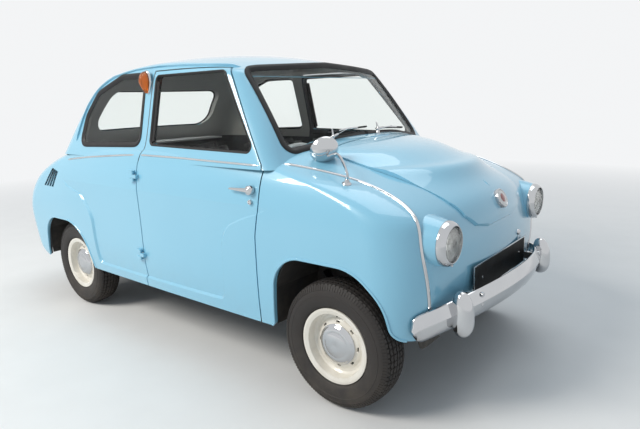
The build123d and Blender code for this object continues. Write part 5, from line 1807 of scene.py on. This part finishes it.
pull_line = smooth_line([inside_door(0.05, 0.7, 0.004), inside_door(0.09, 0.702, 0.03),
                         inside_door(0.25, 0.704, 0.032), inside_door(0.29, 0.702, 0.004)], 0.01)
pull = bead("door_pull_right", "door_right", dark_plastic, pull_line, [Vector((0, 0, 1))] * len(pull_line),
            round_section(0.007, 0.01))
left_twin(pull, "door_left")
release = rod("door_release_right", "door_right", chrome, inside_door(0.5, 0.735, 0.012),
              inside_door(0.42, 0.735, 0.014), (0.014, 0.009), (0.009, 0.006))
left_twin(release, "door_left")
post = lathe("door_release_post_right", "door_right", chrome,
             [(-0.01, 0.0), (-0.01, 0.014), (0.006, 0.014), (0.012, 0.009), (0.013, 0.0)],
             inside_door(0.5, 0.735, 0.0), (0, 1, 0), 24)
left_twin(post, "door_left")
box("rear_shelf", "body", card_vinyl, (-0.838, 0, 0.868), (0.16, 0.9, 0.012), 0.004, 3)
print("cabin lined")

# %% [markdown]
# ### Pedals, mat and handbrake
# These are seen through the windows and with a door open: three pedals, a ribbed mat, the
# handbrake and the gear lever's boot.

# %% Pedals, mat and handbrake
MAT_RIBS, RIB_GAP = 12, 0.05
for number, (y, width) in enumerate(((-0.372, 0.045), (-0.286, 0.05), (-0.206, 0.038))):
    rod(f"pedal_arm_{number}", "body", axle_black, (0.85, y, 0.3), (0.79, y, 0.398), (0.012, 0.008),
        (0.01, 0.008), up=(0, 1, 0))
    box(f"pedal_pad_{number}", "body", seal_rubber, (0.787, y, 0.402), (0.01, width, 0.052), 0.004, 3,
        turn=(0, math.radians(-35), 0))
box("floor_mat", "body", seal_rubber, (0.62, 0, 0.2655), (0.42, 0.62, 0.006), 0.0025, 2)
for number in range(MAT_RIBS):
    y = -0.275 + number * RIB_GAP
    box(f"mat_rib_{number}", "body", seal_rubber, (0.62, y, 0.2692), (0.4, 0.01, 0.003), 0.0012, 2)
rod("handbrake", "body", dark_plastic, (0.12, 0.0, 0.285), (-0.12, 0.0, 0.385), (0.018, 0.014), (0.024, 0.02),
    up=(0, 1, 0))
lathe("lever_boot", "body", seal_rubber,
      [(0.0, 0.048), (0.004, 0.048), (0.01, 0.036), (0.016, 0.038), (0.024, 0.024), (0.03, 0.026),
       (0.042, 0.012), (0.06, 0.009), (0.06, 0.0065), (0.0, 0.0065)], (0.4695, 0, 0.263), (-0.13, 0, 0.99),
      28)
print("small cabin parts made")

# %% [markdown]
# ## Underneath
# Seen from below there are pressed ribs in the floor, brake drums behind the wheels, coil
# springs over the front axle, and straps that hold the silencer.

# %% Ribs, drums, springs and straps
SPRING_X, SPRING_Y = 0.98, -0.29
COILS, COIL_STEPS, COIL_RADIUS, COIL_RISE = 7, 16, 0.03, 0.118
SILENCER_X, SILENCER_Z, SILENCER_RADIUS, STRAP_STEPS = -1.235, 0.202, 0.0435, 40
for number, y in enumerate((-0.26, -0.13, 0.13, 0.26)):
    bead(f"floor_rib_{number}", "body", underseal, [Vector((-0.4 + k * 0.05, y, 0.2541)) for k in range(21)],
         [Vector((0, 0, -1))] * 21, half_round(0.03, 0.008), taper=1)
drum_section = [(-0.034, 0.03), (-0.034, 0.07), (-0.033, 0.088), (-0.03, 0.0885), (-0.029, 0.0855),
                (-0.023, 0.0855), (-0.022, 0.0885), (-0.017, 0.0885), (-0.016, 0.0855), (-0.01, 0.0855),
                (-0.009, 0.0885), (-0.004, 0.0885), (0.006, 0.084), (0.01, 0.07), (0.013, 0.03)]
drum = lathe("brake_drum_front_right", "wheel_front_right", axle_black, drum_section, HUB, WEST, 56)
copy_to_wheels(drum)
coil_line = []
for k in range(COILS * COIL_STEPS + 1):
    angle = k / COIL_STEPS * 2 * math.pi
    coil_line.append(Vector((SPRING_X + COIL_RADIUS * math.cos(angle),
                             SPRING_Y + COIL_RADIUS * math.sin(angle),
                             0.268 + k / (COILS * COIL_STEPS) * COIL_RISE)))
coil = bead("front_spring_right", "body", axle_black, coil_line, [Vector((0, 0, 1))] * len(coil_line),
            round_section(0.0048, 0.0048))
left_twin(coil, "body")
damper = lathe("front_damper_right", "body", bright_steel,
               [(0.0, 0.0), (0.0, 0.012), (0.07, 0.012), (0.072, 0.016), (0.122, 0.016), (0.124, 0.0)],
               (SPRING_X, SPRING_Y, 0.262), (0, 0, 1), 24)
left_twin(damper, "body")
for number, y in enumerate((-0.11, 0.11)):
    centre = Vector((SILENCER_X, y, SILENCER_Z))
    angles = [k * 2 * math.pi / STRAP_STEPS for k in range(STRAP_STEPS)]
    points = [Vector((SILENCER_X + SILENCER_RADIUS * math.cos(a), y,
                      SILENCER_Z + SILENCER_RADIUS * math.sin(a))) for a in angles]
    bead(f"silencer_strap_{number}", "body", bright_steel, points,
         [(p - centre).normalized() for p in points],
         [(-0.01, -0.001), (0.01, -0.001), (0.01, 0.0015), (-0.01, 0.0015)], closed=True)
    box(f"silencer_hanger_{number}", "body", bright_steel, (SILENCER_X, y, 0.2575), (0.004, 0.018, 0.026),
        0.001, 1)
print("underside dressed")

# %% The sizes of the CAD parts and of the dressed car
size = {"cad": [list(v) for v in cad_box], "visual": [list(v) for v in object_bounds()]}
print("visual box", [round(v, 3) for corner in size["visual"] for v in corner])
